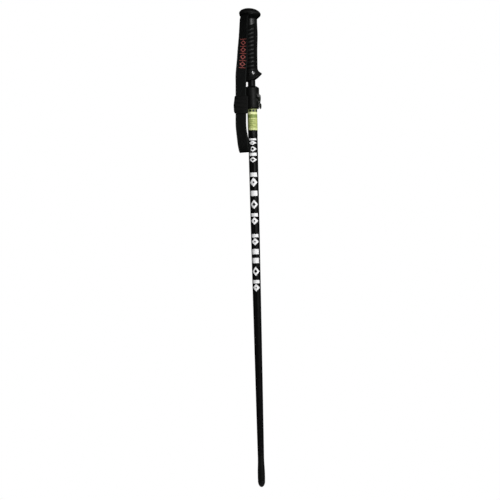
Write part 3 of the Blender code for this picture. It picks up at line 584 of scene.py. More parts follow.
def grip_plastic():
    """Hard plastic of the grip: satin neck, dull rim just under the pad, polished flare, plain underside."""
    look = Surface("grip_plastic")
    height = look.part(look.place, "Z")
    facing = look.part(look.node("NewGeometry", output="Normal"), "Z")
    tone = look.mix(look.patches(9), (0.0028, 0.0030, 0.0028), (0.0046, 0.0048, 0.0045))
    look.colour(look.mix(look.worn_edges(0.56, 0.66), tone, 0.012))
    below = look.times(look.spread(height, 0.7965, 0.7945), look.spread(height, 0.781, 0.785))
    above = look.spread(height, 0.802, 0.880)
    under = look.spread(facing, -0.10, -0.35)
    polished = look.plus(look.times(below, -0.33), look.times(above, -0.20))
    satin = look.plus(look.plus(polished, 0.55), look.patches(4, 0.3, 0.7, -0.03, 0.03))
    look.roughness(look.math("MAXIMUM", satin, look.times(under, 0.95)))
    gloss = look.plus(look.spread(below, 0.0, 1.0, 0.10, 0.52), look.times(above, 0.14))
    look.set("Specular IOR Level", look.times(look.spread(under, 1.0, 0.0), gloss))
    look.bump(look.noise(1.2, 2.0), 0.008)


def rib_rubber():
    """Soft rubber of the grip pad: glossier rib crests with a painted highlight in their paler colour, and
    dull grooves between them with painted shade in their darker colour.
    """
    look = Surface("grip_rubber")
    crest = look.spread(look.part(look.attribute("relief"), "X"), 0.35, 0.9)
    cloud = look.patches(7)
    # Painted shade and highlight: the dark low colour paints shade in the grooves and the paler high colour
    # paints a highlight on the rib crests.
    low = look.mix(cloud, (0.0018, 0.0019, 0.0018), (0.0032, 0.0034, 0.0032))
    high = look.mix(cloud, (0.0060, 0.0066, 0.0062), (0.0100, 0.0108, 0.0102))
    worn = look.times(look.worn_edges(0.56, 0.66), 0.5)
    # Rib height mixes from painted groove shade up to painted crest highlight; the lighter rubbed edges on
    # top are wear.
    look.colour(look.mix(worn, look.mix(crest, low, high), 0.03))
    patchy = look.patches(3, to_low=-0.05, to_high=0.05)
    look.roughness(look.plus(look.spread(crest, 0.0, 1.0, 0.64, 0.44), patchy))
    look.set("Specular IOR Level", look.spread(crest, 0.0, 1.0, 0.05, 0.16))
    look.grain(0.5, 0.035)


black("pommel_plastic", 0.0038, 0.7, 0.02, 0.56, 0.06, 0.17)
black("satin_plastic", 0.0032, 0.5, 0.05, 0.5, 0.08, 0.05)
black("band_rubber", 0.0040, 0.5, 0.04, 0.42, 0.08, 0.10)
black("clamp_plastic", 0.0044, 0.6, 0.03, 0.48, 0.08, 0.09)
black("lever_plastic", 0.0085, 0.55, 0.05, 0.46, 0.08, 0.09, (1.0, 1.15, 0.82))
black("ferrule_plastic", 0.0046, 0.7, 0.05, 0.46, 0.08, 0.11, (1.0, 1.06, 0.86))
black("nose_rubber", 0.0026, 0.6, 0.05, 0.36, 0.08, 0.24, (1.0, 1.0, 0.96))
black("tube_anodised", 0.0040, 0.8, 0.015, 0.38, 0.06, 0.06, (1.0, 1.0, 1.05))
moulded("inner_plastic", (0.07, 0.07, 0.07), (0.12, 0.12, 0.12), 0.5, 0.05, 0.5, 0.1)
grip_plastic()
rib_rubber()
webbing()
thread("red_thread", (0.13, 0.024, 0.020), (0.32, 0.078, 0.068))
thread("black_thread", (0.008, 0.008, 0.009), (0.03, 0.03, 0.032))
drawn_steel("plain_steel", (0.42, 0.42, 0.43), (0.6, 0.6, 0.61), 0.3)
drawn_steel("dark_steel", (0.03, 0.03, 0.03), (0.07, 0.07, 0.07), 0.38)
shaft_paint()
ink("white_ink", 0.93, (0.84, 0.84, 0.85), 0.15)
ink("olive_ink", (0.25, 0.33, 0.085), (0.19, 0.25, 0.06), (0.42, 0.47, 0.15))
ink("dark_ink", (0.004, 0.005, 0.002), (0.012, 0.014, 0.006), (0.30, 0.35, 0.1))
label_film()


# Pommel and grip


def head_drop(x, z):
    """How far the sloping head and cap are lowered at a point."""
    share = smooth((z - SLOPE_LOW) / (SLOPE_FULL - SLOPE_LOW))
    return share * (HEAD_DROP + HEAD_SLOPE * x)


def forward(angle):
    """1 on the forward side (+X), falling quickly to 0 at the back."""
    return ((1 + cos(angle)) / 2) ** 3.5


def grip_radius(angle, height):
    along = clamp((height - GRIP_FLARE_Z) / (GRIP_NECK_Z - GRIP_FLARE_Z))
    plain = GRIP_LOW_RADIUS + (GRIP_TOP_RADIUS - GRIP_LOW_RADIUS) * along
    palm = PALM_SWELL * ((1 - cos(angle)) / 2) ** 2 * sin(pi * along) ** 2
    knuckle = FRONT_SWELL * ((1 + cos(angle)) / 2) ** 2 * bell(along, 0.68, 0.22)
    return plain + palm + knuckle


def ring(radius, height):
    """Ring of points; the radius and the height are numbers or functions of the angle."""
    points = []
    for angle in circle(SEGMENTS):
        reach, level = (value(angle) if callable(value) else value for value in (radius, height))
        points.append(spun(reach, angle, level))
    return points


def dropped(points):
    return [(x, y, z - head_drop(x, z)) for x, y, z in points]


def make_pommel():
    """Domed cap with a soft rim, two shallow rings on the dome and a spigot below."""
    rim_z = CAP_BOTTOM + CAP_RIM_HEIGHT
    across = HEAD_SLOPE * CAP_RADIUS
    dome = sqrt((CAD_HIGH.z - rim_z + HEAD_DROP) ** 2 - across**2) - 0.02 * MM
    groove_depth, groove_width = 0.22 * MM, 0.45 * MM
    profile = [(0.0, rim_z + dome)]
    for turn in between(0, 90, 40)[1:-1]:
        radius = CAP_RADIUS * sin(radians(turn))
        height = rim_z + dome * sqrt(1 - (radius / CAP_RADIUS) ** 2)
        for share in (0.62, 0.86):
            height -= groove_depth * bell(radius, share * CAP_RADIUS, groove_width)
        profile.append((radius, height))
    rim = [(0.0, 1.2), (0.0, 0.6), (0.25, 0.12), (0.7, 0.0), (CAP_WALL / MM, 0.0), (CAP_WALL / MM, 1.3)]
    profile += edge_from(CAP_RADIUS, CAP_BOTTOM, rim) + in_mm([(14.0, 909.0)])
    profile += [(SPIGOT_RADIUS, rim_z + dome - CAP_WALL - 1.0 * MM), (SPIGOT_RADIUS, 903.0 * MM)]
    profile += edge_from(SPIGOT_RADIUS, SPIGOT_END, [(0.0, 0.8), (0.8, 0.0)]) + [(0.0, SPIGOT_END)]
    cap = turned("pommel_dome", profile)
    for vertex in cap.data.vertices:
        if vertex.co.z > CAP_BOTTOM - 0.1 * MM or vertex.co.xy.length > SPIGOT_RADIUS + 0.1 * MM:
            vertex.co.z -= head_drop(vertex.co.x, vertex.co.z)
    finish(cap, "grip", "grip_plastic", "pommel_plastic", "pommel_cap")


def head_rings():
    """Flange of the head and the fillet below it, as (radius, height) in mm; it is thinner in front."""
    flange, top = 20.3, HEAD_TOP / MM
    edge = [(flange - 1.0, top), (flange - 0.3, top - 0.12), (flange, top - 0.5)]
    rear = [(flange, 902.3), (19.7, 901.0), (18.9, 899.8), (17.6, 898.7), (16.3, 897.9), (15.2, 896.7)]
    rear += [(14.3, 895.4), (13.8, 894.1), (13.5, 892.8)]
    front = [(20.0, 902.8), (19.3, 901.8), (18.4, 900.9), (16.9, 899.3), (15.6, 897.7), (14.9, 896.6)]
    front += [(14.4, 895.4), (14.0, 894.1), (13.7, 892.8)]
    rings = []
    for behind, ahead in zip(edge + rear, edge + front):

        def blend(part, angle):
            share = (1 + cos(angle)) / 2
            return (behind[part] + (ahead[part] - behind[part]) * share) * MM

        rings.append(dropped(ring(lambda a: blend(0, a), lambda a: blend(1, a))))
    return rings


def rim_z(angle):
    return RIM_Z + LIP_RISE * forward(angle)


def rim_radius(angle):
    return RIM_RADIUS + LIP_REACH * forward(angle)


def flare_ring(share):
    """Ring of the trumpet below the neck, with a slight bulb at the back; the share is 1 at the rim."""

    def height_at(angle):
        low = GRIP_FLARE_Z - 4 * MM
        return low + share * (rim_z(angle) + LIP_THICKNESS - low)

    def radius_at(angle):
        bulb = BULB_HEIGHT * bell(height_at(angle), BULB_Z, BULB_REACH)
        swollen = share**FLARE_POWER * (rim_radius(angle) - GRIP_LOW_RADIUS)
        return GRIP_LOW_RADIUS + swollen + bulb * smooth(4 * (1 - share)) * (1 - forward(angle))

    return ring(radius_at, height_at)


def lip_rings():
    """Round edge of the flare and the hollow under it, up to the bore."""
    rings = []
    for inset, up in ((0.05, 0.93), (0.0, 0.75), (0.0, 0.5), (0.08, 0.25), (0.3, 0.07), (0.7, 0.0)):
        rings.append(ring(lambda a: rim_radius(a) - inset * MM, lambda a: rim_z(a) + up * LIP_THICKNESS))
    inner = TUBE_RADIUS + 1.2 * MM
    for share in (0.35, 0.7, 1.0):

        def radius_at(angle):
            outer = rim_radius(angle) - 0.7 * MM
            return outer + share * (inner - outer)

        def height_at(angle):
            return RIM_Z + 0.8 * MM * share + LIP_RISE * forward(angle) * (1 - 0.7 * share)

        rings.append(ring(radius_at, height_at))
    return rings


def make_grip_body():
    """Hard grip: sloping head, neck, spine in front, flare with its forward lip, and the sleeve's recess."""
    rings = head_rings()
    for height in between(GRIP_NECK_Z, GRIP_FLARE_Z, 26):
        rings.append(ring(lambda a: grip_radius(a, height), height))
    rings += [flare_ring(step / 24) for step in range(24)] + lip_rings()
    bore = TUBE_RADIUS + GAP
    hole = SPIGOT_RADIUS + GAP
    rings.append(ring(bore, lambda a: RIM_Z + 1.4 * MM + 0.3 * LIP_RISE * forward(a)))
    rings += [ring(bore, BORE_TOP), ring(hole, BORE_TOP), dropped(ring(hole, HEAD_TOP))]
    grip = lofted("grip_body", rings, wrap=True)
    cut(grip, sleeve_skin("recess", SLEEVE_EDGE_DEG - 1.0, GAP, 91, 24, lambda angle, height: 3 * MM))
    cut(grip, *anchor_cutters())
    shade(grip)
    finish(grip, "grip", "grip_plastic", "grip_plastic", "grip_core")


def anchor_cutters():
    """Pocket for the strap's eye with the way out under the flange, and the slot for the pin."""
    half = STRAP_HALF_WIDTH + 0.6 * MM
    above = HEAD_TOP / MM + 2
    outline = in_mm([(8.2, 897.5), (11.2, 897.5), (11.2, 889.5), (26, 889.5), (26, 902.1), (15.9, 902.1)])
    outline += in_mm([(15.9, above), (8.2, above)])
    pin_low, pin_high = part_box("strap_pin")
    pin_z = (pin_low.z + pin_high.z) / 2
    pin_offset = (pin_low + pin_high).xy.length / 2
    slot = PIN_RADIUS + GAP
    low = (pin_offset - slot, -12.9 * MM, pin_z - slot)
    high = (pin_offset + slot, 12.9 * MM, HEAD_TOP + 3 * MM)
    cutters = [plate("pocket", outline, -half, half), block("slot", low, high)]
    for cutter in cutters:
        cutter.data.transform(Matrix.Rotation(radians(STRAP_AZIMUTH_DEG), 4, "Z"))
    return cutters


def sleeve_point(angle, height, outwards):
    surface = grip_radius(angle, height)
    share = (height - SLEEVE_LOW) / (SLEEVE_HIGH - SLEEVE_LOW)
    slope = RIB_SLOPE_LOW + (RIB_SLOPE_HIGH - RIB_SLOPE_LOW) * share
    return spun(surface + outwards, angle, height + slope * surface * cos(angle))


def sleeve_angles(edge_deg, steps):
    return [radians(angle) for angle in between(edge_deg, 360 - edge_deg, steps)]


def sleeve_skin(name, edge_deg, grow, steps, rows, outer_at):
    """C-shaped skin round the palm side of the grip, let into it by its own thickness."""
    heights = between(SLEEVE_LOW - grow, SLEEVE_HIGH + grow, rows)
    sections = []
    for angle in sleeve_angles(edge_deg, steps):
        outer = [sleeve_point(angle, height, outer_at(angle, height)) for height in heights]
        inner = [sleeve_point(angle, height, -SLEEVE_THICKNESS - grow) for height in reversed(heights)]
        sections.append(outer + inner)
    return lofted(name, sections)


def rib_relief(angle, height):
    """Ribs with round tops; they and the rolled border fade into the grip at the sleeve's edges."""
    edge = radians(SLEEVE_EDGE_DEG)
    from_edge = min(angle - edge, 2 * pi - edge - angle)
    inside = RIB_LOWEST - RIB_PITCH / 2 <= height <= RIB_LOWEST + RIB_PITCH * (RIB_COUNT - 0.5)
    phase = 2 * pi * (height - RIB_LOWEST) / RIB_PITCH
    wave = (0.5 + 0.5 * cos(phase)) ** 0.8 if inside else 0.0
    ribs = RIB_HEIGHT * smooth((from_edge - radians(3)) / radians(17)) * wave
    border = min(from_edge * GRIP_LOW_RADIUS, height - SLEEVE_LOW, SLEEVE_HIGH - height)
    return ribs - 0.35 * MM * (1 - smooth(border / (0.6 * MM)))


def make_grip_pad():
    """Ribbed pad, with the height of its ribs kept for its material."""
    steps, rows = 132, 150
    pad = sleeve_skin("grip_pad", SLEEVE_EDGE_DEG, 0.0, steps, rows, rib_relief)
    relief = []
    heights = between(SLEEVE_LOW, SLEEVE_HIGH, rows)
    for angle in sleeve_angles(SLEEVE_EDGE_DEG, steps):
        relief += [(rib_relief(angle, height) / RIB_HEIGHT, 0.0, 0.0) for height in heights]
        relief += [(0.0, 0.0, 0.0)] * len(heights)
    store(pad, "relief", relief)
    finish(pad, "grip", "grip_rubber", "grip_rubber", "grip_sleeve")


# Wrist strap


def strap_stations():
    """Middle line of the doubled strap from the pin to its fold: position and facing azimuth."""
    out = Vector(spun(1.0, radians(STRAP_AZIMUTH_DEG), 0.0))
    stations = []
    for radius, height in in_mm([(12.0, 901.4), (14.5, 897.8), (16.5, 894.2), (17.4, 889.0)]):
        stations.append((out * radius + Vector((0.0, 0.0, height)), STRAP_AZIMUTH_DEG))
    round_the_grip = [
        (-13.6, -14.6, 857.0, 236.0), (-15.3, -15.8, 833.0, 252.0), (-16.6, -16.8, 816.0, 264.0),
        (-18.8, -17.4, 797.0, 270.0)
    ]
    hand_loop = [
        (-20.7, -18.2, 672.0, 266.0), (-17.7, -19.1, 653.0, 257.0), (-16.3, -19.3, 645.0, 253.0),
        (-15.9, -19.3, 636.5, 250.0)
    ]
    stations += [(Vector(place) * MM, facing) for *place, facing in round_the_grip]
    for z in (785.0, 770.0, 740.0, 710.0, 690.0):
        x = SLIDER_MIDDLE.x + SLIDER_LEAN * (z * MM - SLIDER_MIDDLE.z)
        stations.append((Vector((x, SLIDER_MIDDLE.y, z * MM)), 270.0))
    stations += [(Vector(place) * MM, facing) for *place, facing in hand_loop]
    return stations


def through(points, index, share):
    """A smooth curve through the points: its value at a share of the way from one point to the next."""
    last = len(points) - 1
    first, second, third, fourth = (points[min(max(index + step, 0), last)] for step in (-1, 0, 1, 2))
    slope = (third - first) * share
    bend = (2 * first - 5 * second + 4 * third - fourth) * share**2
    return 0.5 * (2 * second + slope + bend + (3 * second - first - 3 * third + fourth) * share**3)


def direction(line, index):
    """Direction of a line at one of its rows, which start with a position."""
    ahead = line[min(index + 1, len(line) - 1)][0]
    return (ahead - line[max(index - 1, 0)][0]).normalized()


def strap_frames():
    """Closely spaced frames down the strap: position, width direction and outward normal."""
    places, facings = zip(*strap_stations())
    line = []
    for index in range(len(places) - 1):
        for share in between(0.0, 1.0, 12)[:-1]:
            line.append((through(places, index, share), through(facings, index, share)))
    line.append((places[-1], facings[-1]))
    frames = []
    for index, (position, azimuth) in enumerate(line):
        tangent = direction(line, index)
        width = Vector(spun(1.0, radians(azimuth), 0.0)).cross(tangent).normalized()
        frames.append((position, width, tangent.cross(width).normalized()))
    return frames


FRAMES = strap_frames()


def strap_steps():
    """(distance so far, length, frame, next frame) for each step down the strap."""
    travelled = 0.0
    for first, second in zip(FRAMES, FRAMES[1:]):
        length = (second[0] - first[0]).length
        yield travelled, length, first, second
        travelled += length


def frame_at(distance):
    for travelled, length, first, second in strap_steps():
        if travelled + length >= distance:
            share = (distance - travelled) / length
            return tuple(start.lerp(end, share) for start, end in zip(first, second))
    return FRAMES[-1]


def distance_to(height):
    """How far down the strap it comes to a height."""
    for travelled, length, (first, *_), (second, *_) in strap_steps():
        if second.z <= height:
            return travelled + (first.z - height) / (first.z - second.z) * length
    return travelled + length


def loop_spread(distance):
    start = distance_to(LOOP_START)
    share = (distance - start) / (distance_to(LOOP_WIDEST) - start)
    return (LOOP_HALF_WIDTH - LAYER_STEP / 2) * smooth(share)


def strap_route():
    """(distance, offset) points of the webbing: up one leg, round the pin and down the other."""
    eye = PIN_RADIUS + GAP + STRAP_THICKNESS / 2
    half = LAYER_STEP / 2
    seam_low, seam_high, widest = distance_to(SEAM_LOW), distance_to(SEAM_HIGH), distance_to(LOOP_WIDEST)
    fold = distance_to(STRAP_BOTTOM + STRAP_THICKNESS / 2)
    # First end: from the seam up to the pin, on the grip's side
    upper = [seam_low, seam_low - 12 * MM, seam_low - 24 * MM, seam_high - 8 * MM]
    while upper[-1] > 22 * MM:
        upper.append(upper[-1] - 14 * MM)
    neck = [(12 * MM, half), (9 * MM, half), (6.6 * MM, half), (4.3 * MM, 1.05 * MM), (2.5 * MM, 1.62 * MM)]
    route = [(distance, -half) for distance in upper if distance > 14 * MM]
    route += [(distance, -offset) for distance, offset in neck]
    # Round the pin, then down on the outer side and out into the loop
    route += [(-eye * cos(radians(turn)), eye * sin(radians(turn))) for turn in range(-115, 116, 23)]
    route += reversed(neck)
    step = 7 * MM
    distance = 16 * MM
    while distance < widest:
        route.append((distance, half + loop_spread(distance)))
        distance += step
    # Round the fold, back up on the grip's side and behind the first end to the seam's top
    for turn in range(0, 181, 15):
        angle = radians(turn)
        route.append((widest + (fold - widest) * sin(angle), LOOP_HALF_WIDTH * cos(angle)))
    distance = widest - step
    while distance > seam_low + 12 * MM:
        route.append((distance, -half - loop_spread(distance)))
        distance -= step
    for before, layers in ((7, 0.25), (3, 0.8), (-1, 1), (-12, 1)):
        route.append((seam_low + before * MM, -half - layers * LAYER_STEP))
    route.append((seam_high, -half - LAYER_STEP))
    return route


def on_strap(distance, across, offset):
    """A point on the strap, with its width and outward directions; it runs on straight above its start."""
    position, width, normal = frame_at(max(distance, 0.0))
    start = position + direction(FRAMES, 0) * min(distance, 0.0)
    return start + width * across + normal * offset, width, normal


def strap_line():
    """Closely spaced (position, width direction, distance travelled) along the webbing."""
    coarse = [on_strap(distance, 0.0, offset)[:2] for distance, offset in strap_route()]
    places = [place for place, _ in coarse]
    line = []
    for index, ((start, width), (end, next_width)) in enumerate(zip(coarse, coarse[1:])):
        steps = max(1, round((end - start).length / (1.6 * MM)))
        for share in between(0.0, 1.0, steps)[:-1]:
            line.append((through(places, index, share), width.lerp(next_width, share)))
    line.append(coarse[-1])
    travelled = 0.0
    result = [(*line[0], 0.0)]
    for first, second in zip(line, line[1:]):
        travelled += (second[0] - first[0]).length
        result.append((*second, travelled))
    return result


def webbing_section():
    """(across, height) all round the tape: a flat body between two firmer edges."""
    shares = [(1.0, 0.35), (0.985, 0.8), (0.95, 1.0), (0.90, 1.0), (0.84, 0.97), (0.79, 0.84), (0.6, 0.85)]
    shares += [(0.4, 0.87), (0.2, 0.88)]
    outer = [(-share, height) for share, height in shares] + [(0.0, 0.88), *reversed(shares)]
    points = outer + [(share, -height) for share, height in reversed(outer)]
    return [(share * STRAP_HALF_WIDTH, height * STRAP_THICKNESS / 2) for share, height in points]


def make_strap():
    """Webbing along its route, with each vertex's place on the tape kept for the weave."""
    line = strap_line()
    section = webbing_section()
    rings, weave = [], []
    for index, (position, width, travelled) in enumerate(line):
        tangent = direction(line, index)
        across = (width - tangent * width.dot(tangent)).normalized()
        normal = across.cross(tangent)
        rings.append([position + across * side + normal * height for side, height in section])
        weave += [(side / MM, travelled / MM, 0.0) for side, _ in section]
    strap = lofted("wrist_webbing", rings)
    store(strap, "weave", weave)
    finish(strap, "strap", "webbing", "woven_webbing", "wrist_strap")


def sew(work, start, end, offset, radius):
    """One short stitch between two (distance, across) places: pointed ends and a round middle."""
    first, _, up = on_strap(*start, offset)
    last = on_strap(*end, offset)[0]
    along = (last - first).normalized()
    side = along.cross(up if offset > 0 else -up).normalized()
    lift = side.cross(along).normalized()
    rows = [[work.verts.new(first)]]
    for share, size in ((0.18, 0.8 * radius), (0.5, radius), (0.82, 0.8 * radius)):
        middle = first.lerp(last, share)
        rows.append([work.verts.new(middle + side * size * cos(a) + lift * size * sin(a)) for a in circle(6)])
    bridge(work, [*rows, [work.verts.new(last)]])


def make_embroidery():
    """Row of sewn diamonds between bars in red thread on the strap's front, all of short parallel threads."""
    offset = LAYER_STEP / 2 + 0.44 * STRAP_THICKNESS
    top, bottom = distance_to(853.0 * MM), distance_to(799.0 * MM)
    count = 4
    pitch = (bottom - top) / count
    half_height = pitch / 2 - 1.5 * MM
    half_width, shift, stroke, bar = 6.1 * MM, 1.1 * MM, 2.6 * MM, 0.8 * MM
    spacing, radius = 0.42 * MM, 0.27 * MM
    work = bmesh.new()
    for number in range(count + 1):
        middle = top + pitch * number
        for across in between(shift - half_width, shift + half_width, int(2 * half_width / spacing)):
            sew(work, (middle - bar, across), (middle + bar, across), offset, radius)
    corners = [(0, -half_height), (half_width, 0), (0, half_height), (-half_width, 0)]
    inset = 1 - stroke / min(half_height, half_width)
    for number in range(count):
        middle = top + pitch * (number + 0.5)
        for (x, y), (next_x, next_y) in zip(corners, corners[1:] + corners[:1]):
            threads = int(hypot(next_x - x, next_y - y) / spacing)
            for step in range(threads):
                share = (step + 0.5) / threads
                out_x, out_y = x + (next_x - x) * share, y + (next_y - y) * share
                start = (middle + out_y, shift + out_x)
                sew(work, start, (middle + out_y * inset, shift + out_x * inset), offset, radius)
    finish(add_mesh("strap_embroidery", work), "strap", "webbing", "red_thread")


def make_seam():
    """Box and cross stitching where the strap's two ends overlap, on the face towards the grip."""
    offset = -LAYER_STEP / 2 - LAYER_STEP - 0.44 * STRAP_THICKNESS
    low, high = distance_to(SEAM_HIGH - 3 * MM), distance_to(SEAM_LOW + 3 * MM)
    half = 7.4 * MM
    corners = [Vector(corner) for corner in ((low, -half), (low, half), (high, half), (high, -half))]
    work = bmesh.new()
    for first, last in ((0, 1), (1, 2), (2, 3), (3, 0), (0, 2), (1, 3)):
        start, end = corners[first], corners[last]
        stitches = round((end - start).length / (2.6 * MM))
        for step in range(stitches):
            near, far = (start.lerp(end, (step + share) / stitches) for share in (0.08, 0.92))
            sew(work, near, far, offset, 0.24 * MM)
    finish(add_mesh("strap_seam", work), "strap", "webbing", "black_thread")


def make_slider():
    """Moulded slide: rounded plates joined at the sides, thumb bars in front and a passage for both legs."""
    height = SLIDER_HIGH - SLIDER_LOW
    top = height / 2 / MM
    outline = filleted([(13.6, 0.0), (13.6, top), (-11.7, top), (-14.0, -1.5)], 2.6, steps=8)[:-1]
    outline += filleted([(-14.0, -1.5), (-13.0, -top), (13.6, -top), (13.6, 0.0)], 5.6, steps=10)[:-1]
    passage = 2 * STRAP_THICKNESS + GAP + 0.8 * MM
    depth = passage + 3.8 * MM
    body = plate("slide_body", in_mm(outline), -depth / 2, depth / 2)
    round_edges(body, 0.7 * MM, segments=3)
    hole_half = STRAP_HALF_WIDTH + 0.4 * MM
    cut(body, block("passage", (-hole_half, -passage / 2, -height), (hole_half, passage / 2, height)))
    for centre in (11.0, 3.5, -4.0, -11.5):
        low, high = centre - 1.1, centre + 1.1
        bar_outline = filleted([(-10.0, low), (11.0, low), (11.0, high), (-10.0, high)], 0.9, closed=True)
        bar = plate("bar", in_mm(bar_outline), -depth / 2 - 0.75 * MM, -depth / 2 + 0.4 * MM)
        round_edges(bar, 0.3 * MM)
        combine(body, bar, "UNION")
    body.data.transform(Matrix.Translation(SLIDER_MIDDLE) @ Matrix.Rotation(atan(SLIDER_LEAN), 4, "Y"))
    shade(body)
    finish(body, "slider", "slider_plastic", "satin_plastic", "strap_slider")


# Tubes, label and print


def shaft_radius(height):
    share = clamp((height - SHAFT_BOTTOM) / (SHAFT_TAPER_TOP - SHAFT_BOTTOM))
    rise = 1 - (1 - share) ** SHAFT_TAPER_POWER
    return SHAFT_TIP_RADIUS + (SHAFT_RADIUS - SHAFT_TIP_RADIUS) * rise


def make_tube():
    tube = pipe("inner_tube", TUBE_RADIUS, TUBE_RADIUS - 0.9 * MM, TUBE_LOW, TUBE_HIGH, 0.25 * MM, steps=4)
    finish(tube, "grip", "coated_tube", "tube_anodised", "upper_tube")


def make_shaft():
    """Tapered tube whose top end is slit twice, so that the clamp can squeeze it."""
    heights = [SHAFT_TOP, SHAFT_TOP - 30 * MM, *between(SHAFT_TAPER_TOP, SHAFT_BOTTOM, 60)]
    outside = [(shaft_radius(height), height) for height in heights]
    inside = [(shaft_radius(height) - SHAFT_WALL, height) for height in reversed(heights)]
    shaft = turned("outer_shaft", outside + inside, closed=True)
    half, reach = 0.8 * MM, 20 * MM
    low, high = SHAFT_TOP - 26 * MM, SHAFT_TOP + reach
    for x, y in ((reach, half), (half, reach)):
        cut(shaft, block("slit", (-x, -y, low), (x, y, high)))
    shade(shaft)
    finish(shaft, "shaft", "shaft_coating", "shaft_paint", "lower_shaft")


def add_patch(work, rows, radius_at):
    """Thin printed patch bent round the shaft: rows are (height, left angle, right angle) from the front."""
    columns = 12
    layers = []
    for lift in (PRINT_THICKNESS, 0.0):
        grid = []
        for height, left, right in rows:
            radius = radius_at(height) + lift
            angles = [radians(angle) for angle in between(left, right, columns)]
            grid.append([work.verts.new((radius * sin(a), -radius * cos(a), height)) for a in angles])
        bridge(work, grid, closed=False)
        right_side, left_side = [row[-1] for row in grid[1:-1]], [row[0] for row in grid[-2:0:-1]]
        layers.append([*grid[0], *right_side, *reversed(grid[-1]), *left_side])
    layers = [layer + layer[:1] for layer in layers]
    bridge(work, layers, closed=False)


def slanted(low, high, left, right, slant=0.0):
    """Parallelogram whose upper end is turned by slant degrees."""
    rows = []
    for share in between(0.0, 1.0, 8):
        shift = slant * (share - 0.5)
        rows.append((high + (low - high) * share, left + shift, right + shift))
    return rows


def diamond(low, high, half, hollow):
    """The left and right halves of a diamond that is open inside by a share of its size."""
    left, right = [], []
    for share in between(0.0, 1.0, 12):
        height = high + (low - high) * share
        from_middle = abs(2 * share - 1)
        width = max(half * (1 - from_middle), 1.0)
        inner = max(half * (hollow - from_middle), 0.0)
        left.append((height, -width, -inner))
        right.append((height, inner, width))
    return [left, right]


def field_patches(kind, low, high):
    """The patches of one printed field."""
    reach = PRINT_HALF_DEG - 4
    tall = high - low
    if kind == "d":
        return [slanted(low, high, -reach, reach)]
    if kind == "g":
        return diamond(low, high, PRINT_HALF_DEG, 0.42)
    band = slanted(low + 0.68 * tall, high - 0.04 * tall, -reach, reach, 6.0)
    return [band, *diamond(low, low + 0.62 * tall, PRINT_HALF_DEG, 0.25)]


def make_shaft_print():
    """Plain decoration in white ink: three groups of bands and diamonds down the front."""
    work = bmesh.new()
    for low, high, kinds, space in PRINT_GROUPS:
        scale = (high - low - space * (len(kinds) - 1)) / sum(FIELD_WEIGHTS[kind] for kind in kinds)
        top = high
        for kind in kinds:
            tall = FIELD_WEIGHTS[kind] * scale
            for patch in field_patches(kind, top - tall, top):
                rows = [(z, left + PRINT_CENTRE_DEG, right + PRINT_CENTRE_DEG) for z, left, right in patch]
                add_patch(work, rows, lambda height: shaft_radius(height) + 0.05 * MM)
            top -= tall + space
    finish(add_mesh("shaft_print", work), "shaft", "shaft_coating", "white_ink")


def make_label():
    label = pipe("label_sleeve", LABEL_RADIUS, LABEL_RADIUS - 0.35 * MM, LABEL_LOW, LABEL_HIGH, 0.12 * MM)
    finish(label, "shaft", "label_film", "label_film", "product_label")


def make_label_print():
    """Generic bars on the label: one olive block over a few thin rules, and a row of dark squares."""
    tall = LABEL_HIGH - LABEL_LOW
    rules = ((0.47, -40, 30), (0.39, -40, 12), (0.30, -40, 38), (0.22, -40, 8), (0.16, 6, 46))
    bars = [(0.58, 0.735, -75, 75)] + [(share, share + 0.022, *sides) for share, *sides in rules]
    low, high = 1 - 5.6 * MM / tall, 1 - 1.3 * MM / tall
    squares = [(low, high, centre - 12, centre + 12) for centre in (-70, -28, 14, 56)]
    for name, look, patches in (("label_bars", "olive_ink", bars), ("label_squares", "dark_ink", squares)):
        work = bmesh.new()
        for low, high, left, right in patches:
            rows = slanted(LABEL_LOW + low * tall, LABEL_LOW + high * tall, left, right)
            add_patch(work, rows, lambda height: LABEL_RADIUS + 0.01 * MM)
        finish(add_mesh(name, work), "shaft", "label_film", look)


def make_shaft_band():
    """Heat-shrunk band under the label that holds its lower edge."""
    high = LABEL_LOW - 0.4 * MM
    low = high - 10.5 * MM
    upper, lower = shaft_radius(high), shaft_radius(low)
    profile = edge_from(upper, high, [(-0.32, 0.0), (-0.32, -2.6)])
    profile += edge_from(lower, high, [(-0.16, -3.4), (-0.16, -5.0), (-0.3, -5.8)])
    profile += edge_from(lower, low, [(-0.3, 0.0), (-0.05, 0.0)]) + edge_from(upper, high, [(-0.05, 0.0)])
    band = turned("label_foot_band", filleted(profile, 0.12 * MM, closed=True, steps=2), closed=True)
    finish(band, "shaft", "shaft_coating", "band_rubber")


# Clamp


